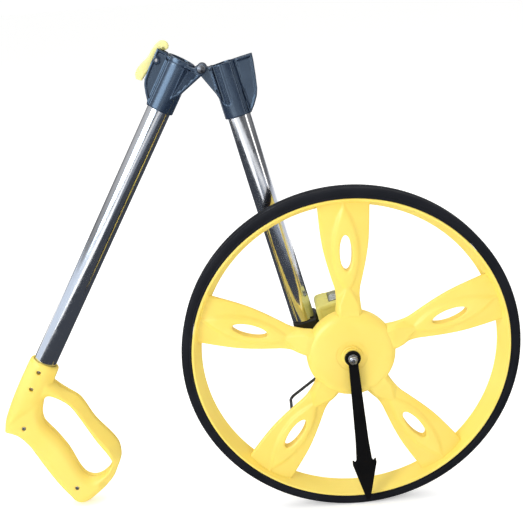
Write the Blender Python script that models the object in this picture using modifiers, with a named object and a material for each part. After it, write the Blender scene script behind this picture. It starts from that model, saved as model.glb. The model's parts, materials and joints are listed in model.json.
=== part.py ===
"""A folding measuring wheel: a wheel of one metre round, a five-digit counter, and a hinged two-part handle.

World frame: +Z up, +X the way that the wheel rolls, the pointer's side of the wheel faces -Y.
The origin is on the ground, under the middle of the bounding box. All sizes are in metres.
"""

import math

import bpy
import bmesh

MM = 0.001

# The wheel, along +Y from its middle plane, which holds the axle frame's origin.
TYRE_RADIUS = 159.15 * MM
TYRE_INNER = 149.8 * MM
TYRE_HALF_WIDTH = 9.3 * MM
TREAD_HALF_WIDTH = 7.2 * MM
TYRE_SHOULDER = 157.4 * MM
RIM_RADIUS = 149.5 * MM
RIM_FRONT_INNER = 147.6 * MM
RIM_BACK_INNER = 140.6 * MM
HUB_RADIUS = 42 * MM
HUB_FRONT = -12 * MM
HUB_BACK = 7 * MM
HUB_BORE = 6.8 * MM
BUSH_FLANGE = 10 * MM
SPOKES = 5
SPOKE_THICKNESS = 8 * MM
SPOKE_HOLE_CENTRE = 98 * MM
SPOKE_HOLE_HALF_LENGTH = 17.2 * MM
SPOKE_HOLE_HALF_WIDTH = 5.7 * MM
GAP = 0.3 * MM

# The axle and what is threaded on it.
AXLE_RADIUS = 4 * MM
THREAD_RADIUS = 2.5 * MM
POINTER_FRONT = -19 * MM
POINTER_THICKNESS = 2.2 * MM
POINTER_LENGTH = 149 * MM
POINTER_LEAN = math.radians(3.3)
NUT_HEIGHT = 5 * MM

# The folding handle. Each arm's frame has its origin on the hinge pin and its Z up the arm's tube.
LOWER_LEAN = math.radians(-13)
UPPER_LEAN = math.radians(30.4)
TUBE_Y = 36 * MM
TUBE_RADIUS = 11 * MM
TUBE_WALL = 1.2 * MM
PIN_TO_TUBE = 19 * MM
PIN_TO_AXLE_ALONG = 288.4 * MM
PIN_TO_AXLE_ACROSS = 53.5 * MM
LOWER_TUBE_END = 256 * MM
UPPER_TUBE_END = 374 * MM
COLLAR_RADIUS = 12.8 * MM
COLLAR_LENGTH = 50 * MM
EAR_GAP = 5.2 * MM
HINGE_HALF_WIDTH = 11 * MM
PIN_RADIUS = 3 * MM
RIVET_HEAD_RADIUS = 4.6 * MM

# The latch, in the upper arm's frame, measured from the upper tube's axis.
LATCH_PIVOT_ACROSS = 20 * MM
LATCH_PIVOT_DOWN = 10.6 * MM
LATCH_THICKNESS = 7.4 * MM
LATCH_PIN_RADIUS = 1.5 * MM
SPRING_DOWN = 25 * MM
SPRING_RADIUS = 2.2 * MM
SPRING_WIRE = 0.35 * MM
SPRING_TURNS = 5

# The handle, in a frame on the upper tube's axis at the collar's top.
HANDLE_DROP = 321.1 * MM
HANDLE_DEPTH = 28 * MM
SCREW_HEAD_RADIUS = 2.8 * MM
SCREW_SHANK_RADIUS = 1.4 * MM

# The counter, in the lower arm's frame. Its gears stand in a row from the axle up the arm.
MODULE = 0.8 * MM
HUB_TEETH = 20
IDLER_TEETH = 20
PINION_TEETH = 8
GEAR_Y = 18.5 * MM
GEAR_THICKNESS = 3 * MM
HOUSING_WIDTH = 40 * MM
HOUSING_FRONT = 14 * MM
HOUSING_SPLIT = 32 * MM
HOUSING_BACK = 50 * MM
HOUSING_ABOVE_AXLE = 46.5 * MM
HOUSING_BELOW_AXLE = 20 * MM
HOUSING_WALL = 2 * MM
DRUMS = 5
DRUM_RADIUS = 11 * MM
DRUM_WIDTH = 3.8 * MM
DRUM_PITCH = 5 * MM
FIRST_DRUM_Y = 24.5 * MM
PINION_ASIDE = 10.8 * MM
WINDOW_WIDTH = 12 * MM
WINDOW_LENGTH = 26 * MM
PLATE_FRONT = 51 * MM
PLATE_BACK = 57 * MM
PAST_BACK = 100 * MM

# The wire bail, which swings on the axle and reaches round the counter.
BAIL_RADIUS = 93.9 * MM
BAIL_KNEE = (12.9 * MM, -46.6 * MM)
BAIL_WIRE = 1.5 * MM
BAIL_NEAR = 12 * MM
BAIL_FAR = 62 * MM
BAIL_ANGLE = math.radians(-128.6)
BAIL_BOSS_INNER = 7.2 * MM
BAIL_BOSS_OUTER = 9 * MM
BAIL_BOSS_FRONT = 9.6 * MM

# The axle frame's place, which centres the bounding box on the origin and sets the tyre on the ground.
AXLE_X = 94.5 * MM
AXLE_Y = -22.55 * MM
AXLE_Z = TYRE_RADIUS

YELLOW = ((0.93, 0.72, 0.16, 1), 0.42, 0)
KHAKI = ((0.72, 0.66, 0.2, 1), 0.45, 0)
BLACK = ((0.012, 0.014, 0.018, 1), 0.35, 0)
RUBBER = ((0.006, 0.007, 0.011, 1), 0.7, 0)
CHROME = ((0.83, 0.84, 0.86, 1), 0.08, 1)
STEEL = ((0.55, 0.55, 0.56, 1), 0.3, 1)
WHITE = ((0.85, 0.85, 0.82, 1), 0.4, 0)
CLEAR = ((0.8, 0.85, 0.85, 1), 0.05, 0)

SHARP_ANGLE = math.radians(30)
TURN_TO_Y = (math.radians(-90), 0, 0)
FLAT_TO_XZ = (math.radians(90), 0, 0)


def clear_scene():
    for obj in list(bpy.data.objects):
        bpy.data.objects.remove(obj)


def collection(name):
    made = bpy.data.collections.new(name)
    bpy.context.scene.collection.children.link(made)
    return made


def material(name, look):
    colour, roughness, metallic = look
    made = bpy.data.materials.new(name)
    made.use_nodes = True
    shader = made.node_tree.nodes["Principled BSDF"]
    shader.inputs["Base Color"].default_value = colour
    shader.inputs["Roughness"].default_value = roughness
    shader.inputs["Metallic"].default_value = metallic
    return made


def place(obj, look, parent, location=(0, 0, 0), turn=(0, 0, 0)):
    """Links the object, colours it and sets it in its parent's frame. An object with no look is a cutter."""
    obj.parent = parent
    obj.location = location
    obj.rotation_euler = turn
    if look is None:
        CUTTERS.objects.link(obj)
        obj.hide_render = True
        obj.display_type = "WIRE"
    else:
        PARTS.objects.link(obj)
        obj.data.materials.append(material(obj.name, look))
    return obj


def empty(name, parent, location, lean=0.0):
    """A frame leant about Y. A moving body's frame has its origin on the joint's axis."""
    made = bpy.data.objects.new(name, None)
    made.parent = parent
    made.location = location
    made.rotation_euler = (0, lean, 0)
    PARTS.objects.link(made)
    return made


def turned(name, look, parent, profile, location=(0, 0, 0), closed=False, steps=32, turn=TURN_TO_Y):
    """A solid of revolution from (radius, height) points. An open profile starts and ends on the axis."""
    area = sum(a[0] * b[1] - b[0] * a[1] for a, b in zip(profile, profile[1:] + profile[:1]))
    if area > 0:
        profile = profile[::-1]
    mesh = bpy.data.meshes.new(name)
    edges = [(i, i + 1) for i in range(len(profile) - 1)]
    if closed:
        edges.append((len(profile) - 1, 0))
    mesh.from_pydata([(radius, 0, height) for radius, height in profile], edges, [])
    obj = place(bpy.data.objects.new(name, mesh), look, parent, location, turn)
    screw = obj.modifiers.new("Turn", "SCREW")
    screw.steps = screw.render_steps = steps
    screw.use_merge_vertices = True
    screw.merge_threshold = 0.00001
    return obj


def rod(name, look, parent, radius, start, end, location=(0, 0, 0), steps=24, turn=TURN_TO_Y):
    """A plain cylinder from start to end along its own axis."""
    profile = [(0, end), (radius, end), (radius, start), (0, start)]
    return turned(name, look, parent, profile, location, steps=steps, turn=turn)


def ring(name, look, parent, inner, outer, start, end, location=(0, 0, 0), steps=32, turn=TURN_TO_Y):
    """A plain tube from start to end along its own axis."""
    profile = [(inner, end), (outer, end), (outer, start), (inner, start)]
    return turned(name, look, parent, profile, location, closed=True, steps=steps, turn=turn)


def block(name, look, parent, size, location=(0, 0, 0)):
    """A plain box about its location."""
    bm = bmesh.new()
    bmesh.ops.create_cube(bm, size=1)
    bmesh.ops.scale(bm, vec=size, verts=bm.verts)
    mesh = bpy.data.meshes.new(name)
    bm.to_mesh(mesh)
    bm.free()
    return place(bpy.data.objects.new(name, mesh), look, parent, location)


def flat(name, look, parent, outlines, thickness, location=(0, 0, 0), rounding=0.0, turn=FLAT_TO_XZ):
    """A flat piece cut from closed outlines. A point is (x, z), or (x, z, "smooth") on a smooth stretch."""
    curve = bpy.data.curves.new(name, "CURVE")
    curve.dimensions = "2D"
    curve.fill_mode = "BOTH"
    curve.extrude = thickness / 2
    curve.resolution_u = 3
    for outline in outlines:
        spline = curve.splines.new("BEZIER")
        spline.bezier_points.add(len(outline) - 1)
        spline.use_cyclic_u = True
        for knot, point in zip(spline.bezier_points, outline):
            knot.co = (point[0], point[1], 0)
            knot.handle_left_type = knot.handle_right_type = "AUTO" if len(point) == 3 else "VECTOR"
    shape = bpy.data.objects.new(name + "_outline", curve)
    bpy.context.scene.collection.objects.link(shape)
    bpy.context.view_layer.update()
    graph = bpy.context.evaluated_depsgraph_get()
    mesh = bpy.data.meshes.new_from_object(shape.evaluated_get(graph))
    bpy.data.objects.remove(shape)
    bm = bmesh.new()
    bm.from_mesh(mesh)
    bmesh.ops.remove_doubles(bm, verts=bm.verts, dist=0.00001)
    bmesh.ops.dissolve_degenerate(bm, edges=bm.edges, dist=0.00001)
    bmesh.ops.dissolve_limit(bm, angle_limit=0.001, verts=bm.verts, edges=bm.edges)
    bmesh.ops.recalc_face_normals(bm, faces=bm.faces)
    bm.to_mesh(mesh)
    bm.free()
    mesh.shade_smooth()
    mesh.set_sharp_from_angle(angle=SHARP_ANGLE)
    mesh.name = name
    mesh.materials.clear()
    obj = place(bpy.data.objects.new(name, mesh), look, parent, location, turn)
    if rounding:
        bevel = obj.modifiers.new("Rounded", "BEVEL")
        bevel.width = rounding
        bevel.segments = 2
        bevel.limit_method = "ANGLE"
        bevel.angle_limit = math.radians(60)
    return obj


def wire(name, look, parent, points, radius, location=(0, 0, 0)):
    """A bent wire of round section through the points."""
    curve = bpy.data.curves.new(name, "CURVE")
    curve.dimensions = "3D"
    curve.bevel_depth = radius
    curve.bevel_resolution = 1
    curve.use_fill_caps = True
    spline = curve.splines.new("POLY")
    spline.points.add(len(points) - 1)
    for knot, point in zip(spline.points, points):
        knot.co = (*point, 1)
    return place(bpy.data.objects.new(name, curve), look, parent, location)


def boolean(obj, operation, *others):
    for other in others:
        modifier = obj.modifiers.new(operation.title() + " " + other.name, "BOOLEAN")
        modifier.operation = operation
        modifier.object = other
    return obj


def cut(obj, *cutters):
    return boolean(obj, "DIFFERENCE", *cutters)


def join(obj, *others):
    return boolean(obj, "UNION", *others)


def circle(radius, x=0.0, z=0.0, points=24):
    """A round outline."""
    turns = [2 * math.pi * i / points for i in range(points)]
    return [(x + radius * math.cos(turn), z + radius * math.sin(turn)) for turn in turns]


def arc(radius, x, z, start, end, points=6):
    """Points of a round corner, from one angle in degrees to the other."""
    turns = [math.radians(start + (end - start) * i / (points - 1)) for i in range(points)]
    return [(x + radius * math.cos(turn), z + radius * math.sin(turn)) for turn in turns]


def smooth(points):
    """Marks outline points, given in millimetres, as a smooth stretch."""
    return [(x * MM, z * MM, "smooth") for x, z in points]


def sharp(points):
    """Outline points, given in millimetres, with straight lines between them."""
    return [(x * MM, z * MM) for x, z in points]


# ---------------------------------------------------------------- the wheel


def spoke_outline():
    """Half widths of a spoke at each radius: a narrow neck, opening like a tulip towards the rim."""
    neck = [(30, 11.8), (42, 11.8), (47, 11.2), (62, 11.5)]
    tulip = [(73, 14.2), (89, 18), (104, 20.8), (122, 22.2), (146.5, 23.6)]
    right = [(width, radius) for radius, width in neck + tulip]
    left = [(-width, radius) for width, radius in reversed(right)]
    return sharp(right + left)


def make_wheel(axle):
    """The moulded wheel: rim, five spokes with an oval hole in each, and a round hub disc."""
    hub_profile = [
        (HUB_BORE, HUB_FRONT),
        (HUB_RADIUS - 6.5 * MM, HUB_FRONT),
        (HUB_RADIUS - 1.8 * MM, HUB_FRONT + 2 * MM),
        (HUB_RADIUS, HUB_FRONT + 5.5 * MM),
        (HUB_RADIUS, HUB_BACK - 3 * MM),
        (HUB_RADIUS - 6 * MM, HUB_BACK),
        (HUB_BORE, HUB_BACK),
    ]
    wheel = turned("wheel_spokes", YELLOW, axle, hub_profile, closed=True, steps=50)
    rim_profile = [
        (RIM_RADIUS, -TYRE_HALF_WIDTH),
        (RIM_RADIUS, TYRE_HALF_WIDTH),
        (RIM_BACK_INNER, TYRE_HALF_WIDTH),
        (RIM_FRONT_INNER, -TYRE_HALF_WIDTH),
    ]
    rim = turned("rim_solid", None, axle, rim_profile, closed=True, steps=96)
    spokes = []
    holes = []
    for index in range(SPOKES):
        spin = empty(f"spoke_{index + 1}_frame", axle, (0, 0, 0), 2 * math.pi * index / SPOKES)
        spokes.append(flat(f"spoke_{index + 1}_solid", None, spin, [spoke_outline()], SPOKE_THICKNESS))
        oval = []
        for step in range(16):
            turn = 2 * math.pi * step / 16
            x = SPOKE_HOLE_HALF_WIDTH * math.cos(turn)
            oval.append((x, SPOKE_HOLE_CENTRE + SPOKE_HOLE_HALF_LENGTH * math.sin(turn)))
        holes.append(flat(f"spoke_{index + 1}_hole", None, spin, [oval], 3 * SPOKE_THICKNESS))
    join(wheel, rim, *spokes)
    cut(wheel, *holes)
    tyre_profile = [
        (TYRE_INNER, -TYRE_HALF_WIDTH),
        (TYRE_INNER, TYRE_HALF_WIDTH),
        (TYRE_SHOULDER, TYRE_HALF_WIDTH - 0.2 * MM),
        (TYRE_RADIUS, TREAD_HALF_WIDTH),
        (TYRE_RADIUS, -TREAD_HALF_WIDTH),
        (TYRE_SHOULDER, 0.2 * MM - TYRE_HALF_WIDTH),
    ]
    turned("tyre", RUBBER, axle, tyre_profile, closed=True, steps=96)


def make_bushes(axle):
    """Flanged bushes in the hub's bore, which run on the axle."""
    inner = AXLE_RADIUS + GAP
    outer = HUB_BORE - GAP
    front = HUB_FRONT - 1.6 * MM
    front_profile = [
        (inner, front),
        (BUSH_FLANGE, front),
        (BUSH_FLANGE, HUB_FRONT - GAP),
        (outer, HUB_FRONT - GAP),
        (outer, -4 * MM),
        (inner, -4 * MM),
    ]
    turned("front_bush", YELLOW, axle, front_profile, closed=True, steps=24)
    ring("rear_bush", STEEL, axle, inner, outer, -3.5 * MM, HUB_BACK + GAP, steps=24)


def gear_outline(teeth):
    """Tooth points of a spur gear with generous backlash, with one tooth straight up."""
    pitch = MODULE * teeth / 2
    root = pitch - 0.85 * MODULE
    tip = pitch + 0.5 * MODULE
    points = []
    for index in range(teeth):
        middle = 2 * math.pi * index / teeth
        for radius, part in ((root, -0.30), (tip, -0.11), (tip, 0.11), (root, 0.30)):
            turn = middle + part * 2 * math.pi / teeth
            points.append((radius * math.sin(turn), radius * math.cos(turn)))
    return points


def make_gear(name, parent, teeth, y, thickness, bore, location, roll=0.0):
    x, z = location
    turn = (FLAT_TO_XZ[0], roll, 0)
    outlines = [gear_outline(teeth), circle(bore, points=16)]
    return flat(name, WHITE, parent, outlines, thickness, (x, y, z), turn=turn)


def make_hub_gear(axle):
    """The gear inside the counter that turns with the wheel, on a sleeve that presses into the hub's back."""
    gear = make_gear("hub_gear", axle, HUB_TEETH, GEAR_Y, GEAR_THICKNESS, AXLE_RADIUS + GAP, (0, 0))
    gear.rotation_euler[1] = LOWER_LEAN
    sleeve = ring(
        "hub_gear_sleeve_solid", None, axle, AXLE_RADIUS + GAP, HUB_BORE, HUB_BACK + 2 * GAP, GEAR_Y, steps=16
    )
    join(gear, sleeve)


def hexagon(across_flats):
    return circle(across_flats / math.sqrt(3), points=6)


def make_axle(axle):
    """The fixed axle, stepped down to a thread at the pointer, with its nuts and washers."""
    shoulder = POINTER_FRONT - GAP
    profile = [
        (0, BAIL_FAR + 8.6 * MM),
        (AXLE_RADIUS, BAIL_FAR + 8.6 * MM),
        (AXLE_RADIUS, shoulder),
        (THREAD_RADIUS, shoulder),
        (THREAD_RADIUS, shoulder - 1.2 * MM - NUT_HEIGHT),
        (0, shoulder - 1.2 * MM - NUT_HEIGHT),
    ]
    turned("axle", STEEL, axle, profile, steps=24)
    washer_back = shoulder - GAP / 3
    washer_front = washer_back - 0.8 * MM
    ring("front_washer", STEEL, axle, THREAD_RADIUS + GAP, 5.2 * MM, washer_front, washer_back, steps=24)
    nut_middle = washer_front - GAP / 3 - NUT_HEIGHT / 2
    nut = [hexagon(8 * MM), circle(THREAD_RADIUS + GAP / 2, points=16)]
    flat("front_nut", STEEL, axle, nut, NUT_HEIGHT - 0.6 * MM, (0, nut_middle, 0))
    spacer_front = POINTER_FRONT + POINTER_THICKNESS + GAP
    spacer_back = HUB_FRONT - 1.9 * MM
    ring("pointer_spacer", YELLOW, axle, AXLE_RADIUS + GAP / 2, 8.6 * MM, spacer_front, spacer_back, steps=24)
    rear = BAIL_FAR + BAIL_WIRE + GAP
    ring("rear_washer", STEEL, axle, AXLE_RADIUS + GAP / 2, 8 * MM, rear, rear + 1 * MM, steps=24)
    rear_nut = [hexagon(13 * MM), circle(AXLE_RADIUS + GAP / 2, points=16)]
    flat("rear_nut", STEEL, axle, rear_nut, NUT_HEIGHT, (0, rear + 1.3 * MM + NUT_HEIGHT / 2, 0))
    jam_height = BAIL_FAR - BAIL_WIRE - PLATE_BACK - 2 * GAP
    flat("plate_nut", STEEL, axle, rear_nut, jam_height, (0, PLATE_BACK + GAP + jam_height / 2, 0))


def make_pointer(axle):
    """The arrow that hangs on the axle and reads the wheel's fraction of a turn."""
    swing = empty("pointer_frame", axle, (0, POINTER_FRONT + POINTER_THICKNESS / 2, 0), -POINTER_LEAN)
    length = POINTER_LENGTH / MM
    half = [
        (4.5, 6),
        (5.3, 42),
        (6.3, 85),
        (7.5, 105),
        (8.6, 107.5),
        (11.2, 105),
        (11.6, 110),
        (2.9, length - 4),
        (2.2, length),
    ]
    arrow = sharp([(x, -z) for x, z in half] + [(-x, -z) for x, z in reversed(half)])
    pointer = flat("pointer", BLACK, swing, [arrow], POINTER_THICKNESS)
    boss = rod(
        "pointer_boss_solid", None, swing, 7.4 * MM, -POINTER_THICKNESS / 2, POINTER_THICKNESS / 2 + GAP / 10
    )
    reach = POINTER_THICKNESS
    hole = rod("pointer_hole", None, swing, AXLE_RADIUS + GAP, -reach, reach, steps=16)
    join(pointer, boss)
    cut(pointer, hole)


def make_bail(axle):
    """A U of wire on the axle: an eye and a cranked leg on each side of the counter, joined by a foot."""
    swing = empty("bail_frame", axle, (0, 0, 0), -(BAIL_ANGLE + math.pi / 2))
    eyes = (("near", BAIL_NEAR, BAIL_BOSS_OUTER + GAP), ("far", BAIL_FAR, AXLE_RADIUS + GAP))
    knee_x, knee_z = BAIL_KNEE
    knee_radius = math.hypot(knee_x, knee_z)
    bend = 4 * MM
    part_bend = 1.2 * MM
    lean = knee_x / (BAIL_RADIUS + knee_z)
    near_start = (eyes[0][2] + BAIL_WIRE) / knee_radius
    far_start = (eyes[1][2] + BAIL_WIRE) / knee_radius
    path = [
        (knee_x * near_start, BAIL_NEAR, knee_z * near_start),
        (knee_x, BAIL_NEAR, knee_z),
        (lean * bend, BAIL_NEAR, bend - BAIL_RADIUS),
        (lean * part_bend, BAIL_NEAR + part_bend, part_bend - BAIL_RADIUS),
        (0, BAIL_NEAR + bend, -BAIL_RADIUS),
        (0, BAIL_FAR - bend, -BAIL_RADIUS),
        (lean * part_bend, BAIL_FAR - part_bend, part_bend - BAIL_RADIUS),
        (lean * bend, BAIL_FAR, bend - BAIL_RADIUS),
        (knee_x, BAIL_FAR, knee_z),
        (knee_x * far_start, BAIL_FAR, knee_z * far_start),
    ]
    shape = wire("bail_outline", STEEL, swing, path, BAIL_WIRE)
    bail = mesh_of_curve(shape, "wire_bail", BLACK)
    for side, y, inner in eyes:
        outer = inner + 2 * BAIL_WIRE
        eye_ring = ring(
            f"bail_{side}_eye_solid", None, swing, inner, outer, -BAIL_WIRE, BAIL_WIRE, (0, y, 0), steps=16
        )
        join(bail, eye_ring)


def mesh_of_curve(shape, name, look):
    """The curve object as a mesh with welded caps, ready for a Boolean. The curve is removed."""
    bpy.context.view_layer.update()
    graph = bpy.context.evaluated_depsgraph_get()
    mesh = bpy.data.meshes.new_from_object(shape.evaluated_get(graph))
    bm = bmesh.new()
    bm.from_mesh(mesh)
    bmesh.ops.remove_doubles(bm, verts=bm.verts, dist=0.00001)
    bmesh.ops.recalc_face_normals(bm, faces=bm.faces)
    bm.to_mesh(mesh)
    bm.free()
    mesh.shade_smooth()
    mesh.set_sharp_from_angle(angle=SHARP_ANGLE)
    mesh.materials.clear()
    mesh.name = name
    obj = bpy.data.objects.new(name, mesh)
    parent, location = shape.parent, tuple(shape.location)
    bpy.data.objects.remove(shape)
    return place(obj, look, parent, location)


# ---------------------------------------------------------------- the hinge


def hinge_side_outline(side):
    """The hinge half's flat sides: flange outside, ear towards the pin. The points are from the pin."""
    flange = [(31, 50), (36, 44), (40.4, 37), (41.8, 32), (42.5, 20), (42.5, 0.5)]
    ear = [(6, 0.5), (4.6, 0.4)]
    around_pin = arc(4.6, 0, 0, -30, -210, 7)
    lower_edge = [(-2, 7), (6.4, 28), (6.4, 50)]
    points = flange + ear + around_pin + lower_edge
    return [(side * x * MM, -z * MM) for x, z in points]


def make_hinge_half(name, arm, side, fork):
    """A moulded socket round the tube with a flange outside and an ear, or a fork of two, on the pin."""
    outline = hinge_side_outline(side)
    tube_x = side * PIN_TO_TUBE
    half = flat(name, BLACK, arm, [outline], 2 * HINGE_HALF_WIDTH, (0, TUBE_Y, 0))
    upright = (0, 0, 0)
    tube_place = (tube_x, TUBE_Y, 0)
    barrel = rod(
        name + "_barrel_solid", None, arm, COLLAR_RADIUS, -COLLAR_LENGTH, -0.5 * MM, tube_place, 32, upright
    )
    bore_top = -5 * MM if fork else 1 * MM
    bore_end = -COLLAR_LENGTH - 5 * MM
    bore = rod(name + "_bore", None, arm, TUBE_RADIUS + GAP, bore_end, bore_top, tube_place, 32, upright)
    reach = 2 * HINGE_HALF_WIDTH
    pin_hole = rod(name + "_pin_hole", None, arm, PIN_RADIUS + GAP, -reach, reach, (0, TUBE_Y, 0), 16)
    join(half, barrel)
    cut(half, bore, pin_hole)
    ear_length = 26 * MM
    ear_place = 6.2 * MM
    if fork:
        size = (2 * ear_place, 2 * (EAR_GAP + GAP), 2 * ear_length)
        cut(half, block(name + "_fork_gap", None, arm, size, (0, TUBE_Y, 0)))
    else:
        for sign in (-1, 1):
            size = (2 * ear_place, 2 * HINGE_HALF_WIDTH, 2 * ear_length)
            y = TUBE_Y + sign * (EAR_GAP + HINGE_HALF_WIDTH)
            cut(half, block(f"{name}_ear_side_{sign + 1}", None, arm, size, (0, y, 0)))
    return half


def make_hinge(lower, upper):
    lower_half = make_hinge_half("lower_hinge", lower, 1, fork=False)
    catch_size = (14 * MM, LATCH_THICKNESS + 2 * MM, 26 * MM)
    cut(lower_half, block("catch_pocket", None, lower, catch_size, (PIN_TO_TUBE + 21 * MM, TUBE_Y, 0)))
    upper_half = make_hinge_half("upper_hinge", upper, -1, fork=True)
    slot_size = (14 * MM, LATCH_THICKNESS + 1 * MM, 96 * MM)
    cut(upper_half, block("latch_slot", None, upper, slot_size, (-PIN_TO_TUBE - 20.7 * MM, TUBE_Y, 0)))
    latch_hole = rod(
        "latch_pin_hole", None, upper, LATCH_PIN_RADIUS + GAP / 2, -15 * MM, 15 * MM,
        (-PIN_TO_TUBE - LATCH_PIVOT_ACROSS, TUBE_Y, -LATCH_PIVOT_DOWN), 12,
    )
    cut(upper_half, latch_hole)
    reach = HINGE_HALF_WIDTH + GAP
    pin_profile = [
        (0, reach + 2 * MM),
        (RIVET_HEAD_RADIUS * 0.6, reach + 1.8 * MM),
        (RIVET_HEAD_RADIUS, reach + 0.6 * MM),
        (RIVET_HEAD_RADIUS, reach),
        (PIN_RADIUS, reach),
        (PIN_RADIUS, -reach),
        (RIVET_HEAD_RADIUS, -reach),
        (RIVET_HEAD_RADIUS, -reach - 0.6 * MM),
        (RIVET_HEAD_RADIUS * 0.6, -reach - 1.8 * MM),
        (0, -reach - 2 * MM),
    ]
    turned("hinge_pin", STEEL, lower, pin_profile, (0, TUBE_Y, 0), steps=20)


def make_latch(upper):
    """The yellow lever: a hook above the hinge's top face, a paddle for the thumb outside the flange."""
    pivot_x = -PIN_TO_TUBE - LATCH_PIVOT_ACROSS
    swing = empty("latch_frame", upper, (pivot_x, TUBE_Y, -LATCH_PIVOT_DOWN))
    hook = [(-1.5, 10.5), (3.2, 13.0), (4.6, 16.5), (2.0, 19.8), (-2.2, 20.2), (-5.6, 17.5)]
    back = [(-7.5, 8), (-8.6, -2), (-11.4, -9), (-12.4, -20.5)]
    paddle = [(-9.6, -23.5), (-4.5, -22.5)]
    inside = [(-2.6, -12), (3.6, -3.5), (3.8, 2), (1.5, 5.5)]
    outline = smooth(hook) + sharp(back) + sharp(paddle) + sharp(inside)
    lever = flat("latch_lever", YELLOW, swing, [outline], LATCH_THICKNESS)
    hole = rod("latch_lever_hole", None, swing, LATCH_PIN_RADIUS + GAP, -10 * MM, 10 * MM, steps=12)
    cut(lever, hole)
    reach = HINGE_HALF_WIDTH + 0.5 * MM
    rod("latch_pin", STEEL, upper, LATCH_PIN_RADIUS, -reach, reach, (pivot_x, TUBE_Y, -LATCH_PIVOT_DOWN), 12)
    per_turn = 8
    start = -PIN_TO_TUBE - 14.4 * MM
    length = 7.4 * MM
    coil = []
    for index in range(SPRING_TURNS * per_turn + 1):
        turn = 2 * math.pi * index / per_turn
        along = start - length * index / (SPRING_TURNS * per_turn)
        coil.append((along, SPRING_RADIUS * math.cos(turn), SPRING_RADIUS * math.sin(turn) - SPRING_DOWN))
    wire("latch_spring", STEEL, upper, coil, SPRING_WIRE, (0, TUBE_Y, 0))


# ---------------------------------------------------------------- tubes and handle


def make_tubes(lower, upper):
    inner = TUBE_RADIUS - TUBE_WALL
    upright = (0, 0, 0)
    place = (PIN_TO_TUBE, TUBE_Y, 0)
    ring("lower_tube", CHROME, lower, inner, TUBE_RADIUS, -LOWER_TUBE_END, -5 * MM, place, turn=upright)
    place = (-PIN_TO_TUBE, TUBE_Y, 0)
    ends = (-UPPER_TUBE_END, -6 * MM)
    return ring("upper_tube", CHROME, upper, inner, TUBE_RADIUS, *ends, place, turn=upright)


def handle_outline():
    """The D handle's outside, from the collar down the back, round the toe and up the guard."""
    back = sharp([(-14, 0)]) + smooth([(-14.2, 40), (-12, 76)]) + sharp([(-7.5, 92)])
    grip = smooth([(5, 90.3), (19, 95), (30, 102.5), (48, 114), (64, 123)])
    toe = smooth([(88, 132.4), (97, 129), (105, 111)])
    guard = smooth([(110.8, 90), (107, 73), (95, 49.5), (69, 35), (45, 20.5), (27, 18.4)])
    neck = sharp([(15.5, 16), (14, 0)])
    return [(point[0], -point[1], *point[2:]) for point in back + grip + toe + guard + neck]


def finger_hole_outline():
    points = [
        (15, 43), (18, 37.5), (26, 36), (39, 37.4), (49, 42), (80, 62), (97, 72.5),
        (102, 79), (99, 88.5), (91, 96.5), (80, 96), (56, 77.5), (38, 67.5), (21, 59),
    ]
    return [(point[0], -point[1], "smooth") for point in smooth(points)]


HANDLE_SCREWS = {
    "handle_screw_1": (-0.8, 10.5, 5.6),
    "handle_screw_2": (-0.7, 30, 5.6),
    "handle_screw_3": (8.7, 74, 24),
    "handle_screw_4": (82, 113, 24),
}


def make_handle(upper, upper_tube):
    """Two moulded shells that meet on the tube's plane, held by four screws from the front."""
    frame = empty("handle_frame", upper, (-PIN_TO_TUBE, TUBE_Y, -HANDLE_DROP))
    upright = (0, 0, 0)
    outlines = [handle_outline(), finger_hole_outline()]
    bore = rod(
        "handle_tube_bore", None, frame, TUBE_RADIUS + GAP, HANDLE_DROP - UPPER_TUBE_END - 1 * MM, 10 * MM,
        steps=32, turn=upright,
    )
    for name, sign in (("handle_front_shell", -1), ("handle_rear_shell", 1)):
        shell = flat(name, YELLOW, frame, outlines, HANDLE_DEPTH, rounding=4 * MM)
        size = (0.4, HANDLE_DEPTH, 0.4)
        past_seam = (0, -sign * (HANDLE_DEPTH / 2 - GAP / 2), -0.06)
        away = block(name + "_other_half", None, frame, size, past_seam)
        cut(shell, away, bore)
        for screw, (x, down, length) in HANDLE_SCREWS.items():
            hole_place = (x * MM, 0, -down * MM)
            hole_end = -HANDLE_DEPTH / 2 + (length + 1) * MM
            if sign < 0:
                seat_end = -HANDLE_DEPTH / 2 + 2.2 * MM
                seat_radius = SCREW_HEAD_RADIUS + GAP
                ends = (-HANDLE_DEPTH, seat_end)
                cut(shell, rod(f"{screw}_seat", None, frame, seat_radius, *ends, hole_place, 12))
            hole_radius = SCREW_SHANK_RADIUS + GAP
            ends = (-HANDLE_DEPTH, hole_end)
            hole = rod(f"{screw}_{name}_hole", None, frame, hole_radius, *ends, hole_place, 12)
            cut(shell, hole)
            if length < 10 and sign < 0:
                cut(upper_tube, hole)
    for screw, (x, down, length) in HANDLE_SCREWS.items():
        front = -HANDLE_DEPTH / 2 + 0.5 * MM
        shoulder = -HANDLE_DEPTH / 2 + 1.9 * MM
        tip = -HANDLE_DEPTH / 2 + length * MM
        profile = [
            (0, tip),
            (SCREW_SHANK_RADIUS * 0.5, tip),
            (SCREW_SHANK_RADIUS, tip - 1.4 * MM),
            (SCREW_SHANK_RADIUS, shoulder),
            (SCREW_HEAD_RADIUS, shoulder),
            (SCREW_HEAD_RADIUS, front),
            (0, front),
        ]
        turned(screw, STEEL, frame, profile, (x * MM, 0, -down * MM), steps=12)


# ---------------------------------------------------------------- the counter


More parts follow.
